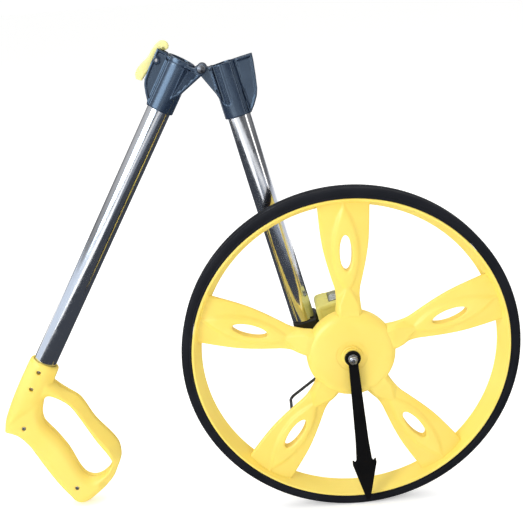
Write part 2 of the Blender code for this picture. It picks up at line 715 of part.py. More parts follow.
def make_bracket(lower):
    """The black end piece: a plug in the lower tube, a shoulder, and a plate to the axle."""
    plug_x = PIN_TO_TUBE
    axle_x = PIN_TO_AXLE_ACROSS
    axle_z = -PIN_TO_AXLE_ALONG
    shoulder_top = -LOWER_TUBE_END - GAP
    block_outline = [
        (plug_x - TUBE_RADIUS, shoulder_top),
        (plug_x - TUBE_RADIUS, shoulder_top - 9 * MM),
        (plug_x, shoulder_top - 20 * MM),
        (plug_x + 12 * MM, shoulder_top - 20 * MM),
        (plug_x + 14 * MM, shoulder_top - 6 * MM),
        (plug_x + 12 * MM, shoulder_top),
    ]
    depth = PLATE_BACK - (TUBE_Y - TUBE_RADIUS)
    middle = TUBE_Y - TUBE_RADIUS + depth / 2
    bracket = flat("axle_bracket", BLACK, lower, [block_outline], depth, (0, middle, 0), rounding=2 * MM)
    plug = rod(
        "bracket_plug_solid", None, lower, TUBE_RADIUS - TUBE_WALL - GAP, -LOWER_TUBE_END - 2 * MM,
        -LOWER_TUBE_END + 22 * MM, (plug_x, TUBE_Y, 0), 24, (0, 0, 0),
    )
    plate_outline = [
        (plug_x - 6 * MM, shoulder_top - 6 * MM),
        (plug_x + 12 * MM, shoulder_top - 2 * MM),
        *arc(11 * MM, axle_x, axle_z, 60, -130, 9),
        (plug_x - 2 * MM, shoulder_top - 18 * MM),
    ]
    plate = flat(
        "bracket_plate_solid", None, lower, [plate_outline], PLATE_BACK - PLATE_FRONT,
        (0, (PLATE_FRONT + PLATE_BACK) / 2, 0),
    )
    axle_place = (axle_x, 0, axle_z)
    axle_hole = rod("bracket_axle_hole", None, lower, AXLE_RADIUS + GAP / 2, 0, PAST_BACK, axle_place, 24)
    join(bracket, plug, plate)
    cut(bracket, axle_hole)


def housing_outline(inset=0.0):
    """A rounded box in section, in the frame of the axle with +Z up the arm."""
    half = HOUSING_WIDTH / 2 - inset
    top = HOUSING_ABOVE_AXLE - inset
    bottom = -HOUSING_BELOW_AXLE + inset
    corner = 4.5 * MM - inset / 2
    points = arc(corner, half - corner, top - corner, 0, 90, 4)
    points += arc(corner, corner - half, top - corner, 90, 180, 4)
    points += arc(corner, corner - half, bottom + corner, 180, 270, 4)
    points += arc(corner, half - corner, bottom + corner, 270, 360, 4)
    return points


def drum_height():
    """How far the drums' shaft stands from the axle, through the idler gear."""
    return MODULE * (HUB_TEETH + IDLER_TEETH)


def housing_screw_places():
    x = HOUSING_WIDTH / 2 - 4.6 * MM
    top = HOUSING_ABOVE_AXLE - 4.6 * MM
    bottom = 4.6 * MM - HOUSING_BELOW_AXLE
    return [(-x, top), (x, top), (-x, bottom), (x, bottom)]


def make_housing(box):
    """Front and rear shells, closed by four screws from the back, with a reading window in the top."""
    shells = []
    halves = (
        ("counter_front_shell", HOUSING_FRONT, HOUSING_SPLIT - GAP / 2),
        ("counter_rear_shell", HOUSING_SPLIT + GAP / 2, HOUSING_BACK),
    )
    for name, front, back in halves:
        middle = (0, (front + back) / 2, 0)
        shell = flat(name, KHAKI, box, [housing_outline()], back - front, middle, rounding=0.8 * MM)
        if name == "counter_front_shell":
            hollow_front, hollow_back = front + HOUSING_WALL, back + 5 * MM
        else:
            hollow_front, hollow_back = front - 5 * MM, back - HOUSING_WALL
        hollow = flat(
            name + "_hollow", None, box, [housing_outline(HOUSING_WALL)], hollow_back - hollow_front,
            (0, (hollow_front + hollow_back) / 2, 0),
        )
        cut(shell, hollow)
        shells.append(shell)
    front_shell, rear_shell = shells
    for index, (x, z) in enumerate(housing_screw_places()):
        screw = f"housing_screw_{index + 1}"
        spot = (x, 0, z)
        front_ends = (HOUSING_FRONT + 1 * MM, HOUSING_SPLIT - GAP / 2)
        rear_ends = (HOUSING_SPLIT + GAP / 2, HOUSING_BACK - 1 * MM)
        join(front_shell, rod(screw + "_front_boss_solid", None, box, 3.2 * MM, *front_ends, spot, 12))
        join(rear_shell, rod(screw + "_rear_boss_solid", None, box, 3.2 * MM, *rear_ends, spot, 12))
        hole = rod(screw + "_hole", None, box, 1.5 * MM, HOUSING_SPLIT - 9 * MM, PAST_BACK, spot, 8)
        seat = rod(screw + "_seat", None, box, 2.7 * MM, HOUSING_BACK - 2 * MM, PAST_BACK, spot, 10)
        cut(front_shell, hole)
        cut(rear_shell, hole, seat)
        profile = [
            (0, HOUSING_BACK - 0.3 * MM),
            (2.4 * MM, HOUSING_BACK - 0.3 * MM),
            (2.4 * MM, HOUSING_BACK - 1.7 * MM),
            (1.2 * MM, HOUSING_BACK - 1.7 * MM),
            (1.2 * MM, HOUSING_SPLIT - 8 * MM),
            (0, HOUSING_SPLIT - 8 * MM),
        ]
        turned(screw, STEEL, box, profile, spot, steps=8)
    boss = rod("bail_boss_solid", None, box, BAIL_BOSS_OUTER, BAIL_BOSS_FRONT, HOUSING_FRONT + 1 * MM)
    join(front_shell, boss)
    gear_opening = rod("gear_opening", None, box, BAIL_BOSS_INNER, 0, GEAR_Y, (0, 0, 0), 24)
    axle_opening = rod("axle_opening", None, box, AXLE_RADIUS + GAP, HOUSING_SPLIT, PAST_BACK, (0, 0, 0), 16)
    knob_place = (0, 0, drum_height())
    knob_opening = rod("knob_opening", None, box, 2.4 * MM, HOUSING_SPLIT, PAST_BACK, knob_place, 12)
    window_middle = FIRST_DRUM_Y + (DRUMS - 1) * DRUM_PITCH / 2
    window_size = (WINDOW_WIDTH, WINDOW_LENGTH, 10 * MM)
    for shell in shells:
        window_place = (0, window_middle, HOUSING_ABOVE_AXLE)
        cut(shell, block(shell.name + "_window_opening", None, box, window_size, window_place))
    cut(front_shell, gear_opening)
    cut(rear_shell, axle_opening, knob_opening)
    pane = (WINDOW_WIDTH - 2 * GAP, WINDOW_LENGTH - 2 * GAP, 1.4 * MM)
    block("counter_window", CLEAR, box, pane, (0, window_middle, HOUSING_ABOVE_AXLE - 1 * MM))


def make_counter(box):
    """Five number drums on one shaft, geared to the wheel, with carry pinions between them."""
    height = drum_height()
    idler_height = MODULE * (HUB_TEETH + IDLER_TEETH) / 2
    idler_place = (0, idler_height)
    half_tooth = math.pi / IDLER_TEETH
    make_gear("idler_gear", box, IDLER_TEETH, GEAR_Y, GEAR_THICKNESS, 1.5 * MM + GAP, idler_place, half_tooth)
    inside_front = HOUSING_FRONT + HOUSING_WALL + GAP
    rod("idler_pin", STEEL, box, 1.5 * MM, inside_front, GEAR_Y + 4 * MM, (0, 0, idler_height), 12)
    shaft_frame = empty("drum_frame", box, (0, 0, height))
    shaft_profile = [
        (0, HOUSING_BACK + 2 * MM),
        (2 * MM, HOUSING_BACK + 2 * MM),
        (2 * MM, inside_front),
        (0, inside_front),
    ]
    turned("drum_shaft", STEEL, shaft_frame, shaft_profile, steps=12)
    knob_front = HOUSING_BACK + GAP
    knob_outlines = [knob_outline(), circle(2 * MM + GAP / 3, points=12)]
    knob_place = (0, knob_front + 4 * MM, 0)
    flat("reset_knob", BLACK, shaft_frame, knob_outlines, 8 * MM, knob_place, rounding=0.6 * MM)
    make_gear("drum_gear", shaft_frame, HUB_TEETH, GEAR_Y, GEAR_THICKNESS, 2 * MM + GAP, (0, 0))
    for index in range(DRUMS):
        y = FIRST_DRUM_Y + index * DRUM_PITCH
        profile = [
            (2 * MM + GAP, y - DRUM_WIDTH / 2),
            (DRUM_RADIUS, y - DRUM_WIDTH / 2),
            (DRUM_RADIUS, y + DRUM_WIDTH / 2),
            (2 * MM + GAP, y + DRUM_WIDTH / 2),
        ]
        turned(f"number_drum_{index + 1}", WHITE, shaft_frame, profile, closed=True, steps=30)
    pinion_place = (PINION_ASIDE, height - PINION_ASIDE)
    for index in range(DRUMS - 1):
        y = FIRST_DRUM_Y + (index + 0.5) * DRUM_PITCH
        make_gear(f"carry_pinion_{index + 1}", box, PINION_TEETH, y, 3.6 * MM, 1 * MM + GAP, pinion_place)
    shaft_place = (pinion_place[0], 0, pinion_place[1])
    rod("pinion_shaft", STEEL, box, 1 * MM, inside_front, HOUSING_BACK - HOUSING_WALL - GAP, shaft_place, 12)


def knob_outline():
    """A round knob with shallow finger flutes."""
    flutes = 10
    points = []
    for index in range(4 * flutes):
        turn = 2 * math.pi * index / (4 * flutes)
        radius = 8 * MM + 0.5 * MM * math.cos(flutes * turn)
        points.append((radius * math.cos(turn), radius * math.sin(turn)))
    return points


def arm_frame_place():
    """Where the hinge pin is from the axle, given the lower arm's lean."""
    across = -PIN_TO_AXLE_ACROSS
    along = PIN_TO_AXLE_ALONG
    x = across * math.cos(LOWER_LEAN) + along * math.sin(LOWER_LEAN)
    z = -across * math.sin(LOWER_LEAN) + along * math.cos(LOWER_LEAN)
    return (x, 0, z)


def main():
    axle = empty("axle_frame", None, (AXLE_X, AXLE_Y, AXLE_Z))
    lower = empty("lower_arm_frame", axle, arm_frame_place(), LOWER_LEAN)
    upper = empty("upper_arm_frame", axle, arm_frame_place(), UPPER_LEAN)
    box = empty("counter_frame", lower, (PIN_TO_AXLE_ACROSS, 0, -PIN_TO_AXLE_ALONG))
    make_wheel(axle)
    make_bushes(axle)
    make_hub_gear(axle)
    make_axle(axle)
    make_pointer(axle)
    make_bail(axle)
    make_hinge(lower, upper)
    make_latch(upper)
    upper_tube = make_tubes(lower, upper)
    make_handle(upper, upper_tube)
    make_bracket(lower)
    make_housing(box)
    make_counter(box)


clear_scene()
PARTS = collection("measuring_wheel")
CUTTERS = collection("cutters")
main()
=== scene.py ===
"""The looks of a folding measuring wheel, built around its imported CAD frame.

Shapes are worked out in millimetres, each in the frame of the part that carries it, with its Y
along the axles. to_world then sets them in the model's frame, in metres.
"""

import json
import math
from functools import reduce

import bmesh
import bpy
import numpy as np
from mathutils import Matrix, Vector


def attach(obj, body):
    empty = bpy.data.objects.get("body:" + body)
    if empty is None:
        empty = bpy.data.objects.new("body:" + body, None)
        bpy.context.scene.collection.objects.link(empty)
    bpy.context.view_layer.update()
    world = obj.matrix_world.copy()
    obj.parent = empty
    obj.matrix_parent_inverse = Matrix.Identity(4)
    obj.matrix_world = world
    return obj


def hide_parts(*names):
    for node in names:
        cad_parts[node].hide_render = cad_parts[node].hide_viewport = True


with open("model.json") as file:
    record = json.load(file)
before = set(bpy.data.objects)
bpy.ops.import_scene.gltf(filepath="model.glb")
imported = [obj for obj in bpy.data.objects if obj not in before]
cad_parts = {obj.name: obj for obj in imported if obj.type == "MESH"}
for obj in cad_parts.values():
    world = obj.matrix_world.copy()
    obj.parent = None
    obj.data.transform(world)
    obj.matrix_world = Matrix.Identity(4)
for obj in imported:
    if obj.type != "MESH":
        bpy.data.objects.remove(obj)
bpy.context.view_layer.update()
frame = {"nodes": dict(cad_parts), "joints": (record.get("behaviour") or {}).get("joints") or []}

MM = 0.001
SHARP = math.radians(34)
JOINT = {joint["name"]: Vector(joint["pos_m"]) for joint in frame["joints"]}

# ---------------- the frames of the parts

LOWER_LEAN = math.radians(-13)
UPPER_LEAN = math.radians(30.4)
POINTER_LEAN = math.radians(-3.3)
BAIL_LEAN = math.radians(38.6)
TUBE_ASIDE = 19
TUBE_Y = 36
HANDLE_DROP = 321.1
DRUM_RISE = 32


def lean_frame(place, lean):
    return Matrix.Translation(place) @ Matrix.Rotation(lean, 4, "Y")


def shifted(place, x, z):
    """The frame moved along its own X and Z, in millimetres."""
    return place @ Matrix.Translation((x * MM, 0, z * MM))


AXLE, PIN = JOINT["wheel_spin"], JOINT["fold_hinge"]
WHEEL_FRAME = lean_frame(AXLE, 0)
POINTER_FRAME = lean_frame(AXLE, POINTER_LEAN)
BAIL_FRAME = lean_frame(AXLE, BAIL_LEAN)
COUNTER_FRAME = lean_frame(AXLE, LOWER_LEAN)
DRUM_FRAME = shifted(COUNTER_FRAME, 0, DRUM_RISE)
LOWER_FRAME = lean_frame(PIN, LOWER_LEAN)
UPPER_FRAME = lean_frame(PIN, UPPER_LEAN)
LATCH_FRAME = lean_frame(JOINT["latch_press"], UPPER_LEAN)
HANDLE_FRAME = shifted(UPPER_FRAME, -TUBE_ASIDE, -HANDLE_DROP)


def to_world(points, place):
    moved = np.asarray(points, float) * MM
    turn = np.array(place.to_3x3())
    return moved @ turn.T + np.array(place.translation)


# ---------------- meshes


def put(name, data):
    """A new object in the scene."""
    made = bpy.data.objects.new(name, data)
    bpy.context.scene.collection.objects.link(made)
    return made


def drop(piece):
    bpy.data.objects.remove(piece)


def smooth(mesh):
    """Smooth shading, with the sharp edges kept."""
    mesh.shade_smooth()
    mesh.set_sharp_from_angle(angle=SHARP)


def applied(piece):
    """The mesh that a curve, a text or a piece with modifiers comes to."""
    bpy.context.view_layer.update()
    graph = bpy.context.evaluated_depsgraph_get()
    return bpy.data.meshes.new_from_object(piece.evaluated_get(graph))


def clean(mesh, merge=0.0):
    """Joins points that lie together, in metres, and turns the faces outwards."""
    bm = bmesh.new()
    bm.from_mesh(mesh)
    if merge:
        bmesh.ops.remove_doubles(bm, verts=bm.verts, dist=merge)
    bmesh.ops.recalc_face_normals(bm, faces=bm.faces)
    bm.to_mesh(mesh)
    bm.free()


def mesh_piece(name, points, faces, place):
    """A mesh object from points in millimetres."""
    mesh = bpy.data.meshes.new(name)
    mesh.from_pydata(to_world(points, place).tolist(), [], faces)
    smooth(mesh)
    return put(name, mesh)


def solid(piece, operation, others):
    """Joins or cuts closed meshes for good, and drops the ones used."""
    for other in others:
        modifier = piece.modifiers.new(operation, "BOOLEAN")
        modifier.operation = operation
        modifier.solver = "MANIFOLD"
        modifier.object = other
    mesh = applied(piece)
    piece.modifiers.clear()
    smooth(mesh)
    piece.data = mesh
    for other in others:
        drop(other)


def arc(x, z, radius, start, end, steps):
    """Points round a centre, with the turns in degrees."""
    turns = [math.radians(start + (end - start) * step / steps) for step in range(steps + 1)]
    return [(x + radius * math.cos(turn), z + radius * math.sin(turn)) for turn in turns]


def bent(start, corner, end, steps):
    """Points on the smooth bend that replaces a corner."""
    made = []
    for step in range(steps + 1):
        t = step / steps
        made.append(tuple((1 - t) ** 2 * start + 2 * t * (1 - t) * corner + t * t * end))
    return made


def softened(points, radius):
    """A closed profile with its corners rounded."""
    longest_share = 0.45
    points = [Vector(p) for p in points]
    made = []
    for index, corner in enumerate(points):
        before = points[index - 1] - corner
        after = points[(index + 1) % len(points)] - corner
        cut = min(radius, before.length * longest_share, after.length * longest_share)
        made += bent(corner + before.normalized() * cut, corner, corner + after.normalized() * cut, 3)
    return made


def lathe(name, place, profile, steps, along="Y", closed=True, radius=0.0):
    """A turned piece. The profile is (radius, height) points, with the height along the given axis."""
    if radius:
        profile = softened(profile, radius)
    area = sum(a[0] * b[1] - b[0] * a[1] for a, b in zip(profile, profile[1:] + profile[:1]))
    if area < 0:
        profile = profile[::-1]
    points, rings = [], []
    for r, h in profile:
        start = len(points)
        count = steps if r else 1
        rings.append([start + step % count for step in range(steps)])
        for step in range(count):
            turn = 2 * math.pi * step / steps
            c, s = r * math.cos(turn), r * math.sin(turn)
            points.append((c, h, s) if along == "Y" else (c, s, h))
    pairs = list(zip(rings, rings[1:]))
    if closed:
        pairs.append((rings[-1], rings[0]))
    faces = []
    for lower, upper in pairs:
        for step in range(steps):
            after = (step + 1) % steps
            face = list(dict.fromkeys([lower[step], upper[step], upper[after], lower[after]]))
            if len(face) > 2:
                faces.append(face if along == "Y" else face[::-1])
    return mesh_piece(name, points, faces, place)


def wire(name, place, points, radius):
    """Round wire bent through the points."""
    curve = bpy.data.curves.new(name, "CURVE")
    curve.dimensions = "3D"
    curve.bevel_depth = radius * MM
    curve.bevel_resolution = 3
    curve.use_fill_caps = True
    spline = curve.splines.new("POLY")
    spline.points.add(len(points) - 1)
    for knot, point in zip(spline.points, to_world(points, place)):
        knot.co = (*point, 1)
    path = put(name + "_path", curve)
    mesh = applied(path)
    drop(path)
    clean(mesh, 0.000005)
    mesh.name = name
    smooth(mesh)
    return put(name, mesh)


# ---------------- shapes by signed distance


def hermite(t, a, slope_a, b, slope_b):
    """The cubic from a to b with these slopes at its ends."""
    return (
        (2 * t**3 - 3 * t**2 + 1) * a
        + (t**3 - 2 * t**2 + t) * slope_a
        + (-2 * t**3 + 3 * t**2) * b
        + (t**3 - t**2) * slope_b
    )


def outline(points, steps=6):
    """A closed outline in X and Z, smooth through its points but for the corners, marked "c"."""
    knots = [np.array(p[:2], float) for p in points]
    soft = [len(p) == 2 for p in points]
    count = len(knots)
    made = []
    for index, a in enumerate(knots):
        following = (index + 1) % count
        b = knots[following]
        if not (soft[index] or soft[following]):
            made.append(a)
            continue
        size = np.linalg.norm(b - a)
        before, after = b - knots[index - 1], knots[(index + 2) % count] - a
        slope_a = before / np.linalg.norm(before) * size if soft[index] else b - a
        slope_b = after / np.linalg.norm(after) * size if soft[following] else b - a
        made += [hermite(step / steps, a, slope_a, b, slope_b) for step in range(steps)]
    return np.array(made)


class Field:
    """Sample points in a box, in millimetres. Shapes are arrays of signed distance, negative inside."""

    def __init__(self, low, high, step):
        self.step = step
        self.axes = [np.arange(a - 1.5 * step, b + 2.5 * step, step) for a, b in zip(low, high)]
        self.x, self.y, self.z = np.meshgrid(*self.axes, indexing="ij", sparse=True)

    def flat(self, points):
        """Distance from an outline in X and Z, the same at every Y."""
        px, pz = np.meshgrid(self.axes[0], self.axes[2], indexing="ij")
        nearest = np.full(px.shape, 1e9)
        inside = np.zeros(px.shape, bool)
        for (ax, az), (bx, bz) in zip(points, np.roll(points, -1, axis=0)):
            ex, ez = bx - ax, bz - az
            wx, wz = px - ax, pz - az
            t = np.clip((wx * ex + wz * ez) / max(ex * ex + ez * ez, 1e-12), 0, 1)
            nearest = np.minimum(nearest, (wx - ex * t) ** 2 + (wz - ez * t) ** 2)
            if az != bz:
                inside ^= ((az > pz) != (bz > pz)) & (px < ex * (pz - az) / ez + ax)
        distance = np.sqrt(nearest)
        return np.where(inside, -distance, distance)[:, None, :]

    def across(self, x, z, radius):
        """A round bar along Y."""
        return np.hypot(self.x - x, self.z - z) - radius

    def upright(self, x, y, radius):
        """A round bar along Z."""
        return np.hypot(self.x - x, self.y - y) - radius

    def between_y(self, low, high):
        return np.maximum(low - self.y, self.y - high)

    def between_z(self, low, high):
        return np.maximum(low - self.z, self.z - high)

    def box(self, low, high):
        d = [np.abs(v - (a + b) / 2) - (b - a) / 2 for v, a, b in zip((self.x, self.y, self.z), low, high)]
        return np.sqrt(sum(np.maximum(v, 0) ** 2 for v in d)) + np.minimum(meet(*d), 0)

    def piece(self, name, place, shape):
        """The shape's surface as a mesh, with one point in each cell that the surface crosses."""
        values = np.broadcast_to(shape, [len(a) for a in self.axes]).astype(float)
        cells = [n - 1 for n in values.shape]
        count = np.zeros(cells)
        total = np.zeros(cells + [3])
        edges = []

        def pick(array, axis, shift):
            return array.take(np.arange(cells[axis]) + shift, axis)

        for axis in range(3):
            a, b = pick(values, axis, 0), pick(values, axis, 1)
            cross = (a < 0) != (b < 0)
            part = np.where(cross, a / np.where(cross, a - b, 1), 0)
            second, third = (axis + 1) % 3, (axis + 2) % 3
            for i in (0, 1):
                for j in (0, 1):
                    hit, share = (pick(pick(v, second, i), third, j) for v in (cross, part))
                    count += hit
                    total[..., axis] += share
                    total[..., second] += hit * i
                    total[..., third] += hit * j
            edges.append((cross, a < 0))
        mixed = count > 0
        number = np.full(cells, -1)
        number[mixed] = np.arange(mixed.sum())
        corner = np.array([a[0] for a in self.axes])
        points = (np.argwhere(mixed) + total[mixed] / count[mixed][:, None]) * self.step + corner
        faces = []
        for axis, (cross, solid_first) in enumerate(edges):
            second, third = (axis + 1) % 3, (axis + 2) % 3
            spots = np.argwhere(cross)
            keep = (spots > 0) & (spots < cells)
            spots = spots[keep[:, second] & keep[:, third]]
            around = []
            for i, j in ((1, 1), (0, 1), (0, 0), (1, 0)):
                cell = spots.copy()
                cell[:, second] -= i
                cell[:, third] -= j
                around.append(number[tuple(cell.T)])
            quads = np.stack(around, axis=1)
            back = ~solid_first[tuple(spots.T)]
            quads[back] = quads[back][:, ::-1]
            faces.append(quads)
        return mesh_piece(name, points, np.concatenate(faces).tolist(), place)


def slab(flat, depth, rounding):
    """An extruded outline with rounded rims, from its flat distance and its depth distance."""
    a, b = flat + rounding, depth + rounding
    return np.minimum(np.maximum(a, b), 0) + np.hypot(np.maximum(a, 0), np.maximum(b, 0)) - rounding


def meet(*shapes):
    """What the shapes have in common, with sharp edges."""
    return reduce(np.maximum, shapes)


def melt(a, b, blend):
    """The union of two shapes with a fillet."""
    h = np.maximum(blend - np.abs(a - b), 0) / blend
    return np.minimum(a, b) - h * h * blend / 4


def carve(a, b, blend=0.0):
    """The first shape with the second cut away, with a rounded edge."""
    return -melt(-a, b, blend) if blend else np.maximum(a, -b)


def ramp(value, low, high):
    """Goes smoothly from 0 to 1 as the value goes from low to high."""
    t = np.clip((value - low) / (high - low), 0, 1)
    return t * t * (3 - 2 * t)


# ---------------- materials


class Shader:
    """A principled material whose textures lie in the object's own coordinates."""

    def __init__(self, name, colour, roughness, metallic=0.0, others=None):
        self.name = name
        self.material = bpy.data.materials.new(name)
        self.material.use_nodes = True
        self.tree = self.material.node_tree
        self.bsdf = self.tree.nodes["Principled BSDF"]
        main = {"Base Color": (*colour, 1), "Roughness": roughness, "Metallic": metallic}
        for socket, value in {**main, **(others or {})}.items():
            self.bsdf.inputs[socket].default_value = value
        self.coordinates = self.node("TexCoord").outputs["Object"]
        self.relief = None

    def node(self, kind, inputs=()):
        """A new node, with the inputs that come from other nodes linked."""
        made = self.tree.nodes.new("ShaderNode" + kind)
        for socket, value in dict(inputs).items():
            if isinstance(value, bpy.types.NodeSocket):
                self.tree.links.new(value, made.inputs[socket])
            else:
                made.inputs[socket].default_value = value
        return made

    def drive(self, socket, output):
        self.tree.links.new(output, self.bsdf.inputs[socket])

    def noise(self, scale, detail=4, roughness=0.55, stretch=None):
        """A noise texture. The stretch is a lean and the sizes of its grain along each axis."""
        source = self.coordinates
        if stretch:
            lean, sizes = stretch
            squeeze = self.node("Mapping", {"Vector": source, "Rotation": (0, lean, 0), "Scale": sizes})
            squeeze.vector_type = "TEXTURE"
            source = squeeze.outputs["Vector"]
        inputs = {"Vector": source, "Scale": scale, "Detail": detail, "Roughness": roughness}
        return self.node("TexNoise", inputs).outputs["Fac"]

    def tint(self, source, first, second, start=0.3, end=0.7):
        """Colour between two shades."""
        node = self.node("ValToRGB", {"Fac": source})
        for stop, place, colour in zip(node.color_ramp.elements, (start, end), (first, second)):
            stop.position = place
            stop.color = (*colour, 1)
        self.drive("Base Color", node.outputs["Color"])

    def gloss(self, source, low, high):
        """Roughness between two values."""
        inputs = {"Value": source, "From Min": 0.3, "From Max": 0.7, "To Min": low, "To Max": high}
        self.drive("Roughness", self.node("MapRange", inputs).outputs["Result"])

    def bump(self, source, strength, distance):
        """Fine relief, on top of any given before."""
        inputs = {"Height": source, "Strength": strength, "Distance": distance}
        if self.relief is not None:
            inputs["Normal"] = self.relief
        self.relief = self.node("Bump", inputs).outputs["Normal"]
        self.drive("Normal", self.relief)


# Each plastic: light and deep shade, then roughness, grain, relief and other sockets where they differ.
PLASTICS = {
    "yellow_plastic": (
        (0.94, 0.735, 0.155), (0.92, 0.685, 0.118), 0.42, 900, 0.15,
        {"Subsurface Weight": 0.12, "Subsurface Radius": (0.004, 0.0025, 0.0006), "Subsurface Scale": 1.0},
    ),
    "pale_yellow_plastic": (
        (0.93, 0.88, 0.40), (0.90, 0.84, 0.33), 0.42, 900, 0.15,
        {"Subsurface Weight": 0.15, "Subsurface Radius": (0.004, 0.003, 0.001), "Subsurface Scale": 1.0},
    ),
    "khaki_plastic": ((0.64, 0.60, 0.17), (0.56, 0.52, 0.13)),
    "black_plastic": (
        (0.015, 0.027, 0.055), (0.010, 0.019, 0.040), 0.22, 700, 0.15,
        {"Specular IOR Level": 0.8, "IOR": 1.7, "Specular Tint": (0.62, 0.80, 1, 1)},
    ),
    "soot_plastic": (
        (0.008, 0.008, 0.009), (0.005, 0.005, 0.006), 0.42, 700, 0.2, {"Specular IOR Level": 0.3},
    ),
    "black_sheet": (
        (0.004, 0.0035, 0.004), (0.0025, 0.0025, 0.003), 0.5, 1200, 0.2, {"Specular IOR Level": 0.15},
    ),
    "black_wire": ((0.016, 0.017, 0.020), (0.010, 0.011, 0.013), 0.36, 1500, 0.2),
    "white_plastic": ((0.84, 0.84, 0.80), (0.78, 0.78, 0.73)),
    "digit_ink": ((0.02, 0.02, 0.022), (0.012, 0.012, 0.014), 0.5),
}


def moulded(name, light, deep, roughness=0.42, grain=900, relief=0.15, others=None):
    """Moulded plastic: slow colour drift, uneven gloss and a fine spark-eroded grain."""
    made = Shader(name, light, roughness, others=others)
    made.tint(made.noise(14, 3), deep, light, 0.32, 0.62)
    made.gloss(made.noise(60, 5), roughness - 0.06, roughness + 0.08)
    made.bump(made.noise(grain, 2), relief, 0.00008)
    made.bump(made.noise(45, 2), 0.12, 0.0004)
    return made


def machined(name, colour, mottle, dark, light, scuffs, low, high, relief):
    """Turned or pressed steel: mottled, scuffed and finely grained."""
    made = Shader(name, colour, low + 0.08, 1.0)
    made.tint(made.noise(mottle, 4), dark, light)
    made.gloss(made.noise(scuffs, 3), low, high)
    made.bump(made.noise(1800, 2), relief, 0.00004)
    return made


def chromed(name, lean):
    """Bright drawn tube, with streaks along the arm that it belongs to."""
    made = Shader(name, (0.74, 0.76, 0.80), 0.09, 1.0)
    streaks = made.noise(1, 4, 0.6, (lean, (0.0006, 0.0006, 0.12)))
    made.tint(streaks, (0.68, 0.70, 0.74), (0.82, 0.84, 0.88))
    made.gloss(made.noise(90, 4, 0.6), 0.09, 0.19)
    made.bump(streaks, 0.05, 0.00003)
    return made


def make_materials():
    made = [moulded(name, *values) for name, values in PLASTICS.items()]
    rubber = Shader("tyre_rubber", (0.006, 0.007, 0.012), 0.7, others={"Specular IOR Level": 0.18})
    rubber.tint(rubber.noise(30, 5), (0.004, 0.005, 0.009), (0.010, 0.011, 0.016), 0.35, 0.75)
    rubber.gloss(rubber.noise(120, 4), 0.58, 0.78)
    rubber.bump(rubber.noise(1400, 3), 0.3, 0.00012)
    pane = Shader("clear_pane", (0.94, 0.97, 0.97), 0.03, others={"Transmission Weight": 1.0, "IOR": 1.49})
    pane.bump(pane.noise(60, 2), 0.03, 0.0002)
    made += [
        rubber, pane, chromed("chrome_upper", UPPER_LEAN), chromed("chrome_lower", LOWER_LEAN),
        machined(
            "steel", (0.56, 0.56, 0.58), 220, (0.46, 0.46, 0.48), (0.62, 0.62, 0.64),
            500, 0.2, 0.4, 0.1,
        ),
        machined(
            "dark_steel", (0.17, 0.18, 0.20), 300, (0.12, 0.125, 0.14), (0.22, 0.23, 0.25),
            600, 0.28, 0.46, 0.12,
        ),
    ]
    return {shader.name: shader.material for shader in made}


MATERIALS = make_materials()


def paint(mesh, look):
    mesh.materials.clear()
    mesh.materials.append(MATERIALS[look])


def wear(piece, look, body, *nodes):
    """Gives the piece its material and body, and hides the CAD nodes that it stands for."""
    paint(piece.data, look)
    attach(piece, body)
    if nodes:
        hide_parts(*nodes)


def turned(name, place, profile, steps, look, body, node, **options):
    wear(lathe(name, place, profile, steps, **options), look, body, node)


def cross_screw(name, place, profile, steps, room, cut, lean, body, node):
    """A turned screw with a cross cut in its head. Room and cut are the corners of boxes in its frame."""
    screw = lathe(name, place, profile, steps, closed=False)
    cuts = []
    for turn in (lean, lean + math.pi / 2):
        field = Field(*room, 0.2)
        cuts.append(field.piece("cross", place @ Matrix.Rotation(turn, 4, "Y"), field.box(*cut)))
    solid(screw, "DIFFERENCE", cuts)
    wear(screw, "steel", body, node)


# ---------------- the wheel

# Half the width of a spoke, and of the raised pod round its hole, by the distance from the axle.
SPOKE_WIDTHS = [
    (30, 12), (36, 12), (42, 12), (46, 11.4), (53, 11.1), (62, 11.6), (73, 14.3), (89, 18.2), (104, 21),
    (122, 22.7), (135, 23.4), (149, 24),
]
POD_WIDTHS = [
    (52, 0), (59, 0.6), (66, 3.6), (74, 7.2), (84, 10.2), (98, 11.6), (112, 10.9), (124, 8.2), (134, 4.6),
    (142, 1.2), (149, 0),
]
HOLE_CENTRE = 98
HOLE_HALF_LENGTH = 17.2
HOLE_HALF_WIDTH = 5.7
SPOKE_START, SPOKE_END = 30, 148
SPOKE_COUNT = 5


def along_table(table, radius):
    """A smooth reading of a table of (radius, value)."""
    r, v = np.array(table, float).T
    slopes = np.gradient(v, r)
    index = np.clip(np.searchsorted(r, radius) - 1, 0, len(r) - 2)
    size = r[index + 1] - r[index]
    t = np.clip((radius - r[index]) / size, 0, 1)
    return hermite(t, v[index], slopes[index] * size, v[index + 1], slopes[index + 1] * size)


def worn(distance, reach):
    """Grows from 0 to 1 over the last stretch before an edge."""
    return np.clip(1 - distance / reach, 0, 1) ** 2


def spoke_front(x, r, width, to_hole):
    """How far the spoke's face stands towards the pointer: flanges, a pod round the hole, a neck rib."""
    flange = 3.9 - 2.2 * np.clip(x / width, 0, 1) ** 2.2
    pod_width = along_table(POD_WIDTHS, r)
    pod = 2.3 * ramp(pod_width - x, -1.6, 1.6) * ramp(r, 58, 70) * ramp(-r, -146, -128)
    crown = 0.5 * np.clip(1 - (x / np.maximum(pod_width, 0.5)) ** 2, 0, 1) * ramp(r, 64, 76)
    rib_width = np.clip((67 - r) * 0.45, 0.4, 8.5)
    rib_height = 4.6 + np.clip(66 - r, 0, 22) * 0.24
    rib = rib_height - np.clip(x - rib_width, 0, 20) * 1.05
    return np.maximum(flange + pod + crown, rib) - worn(to_hole, 1.4) - worn(width - x, 1.2) * 0.8


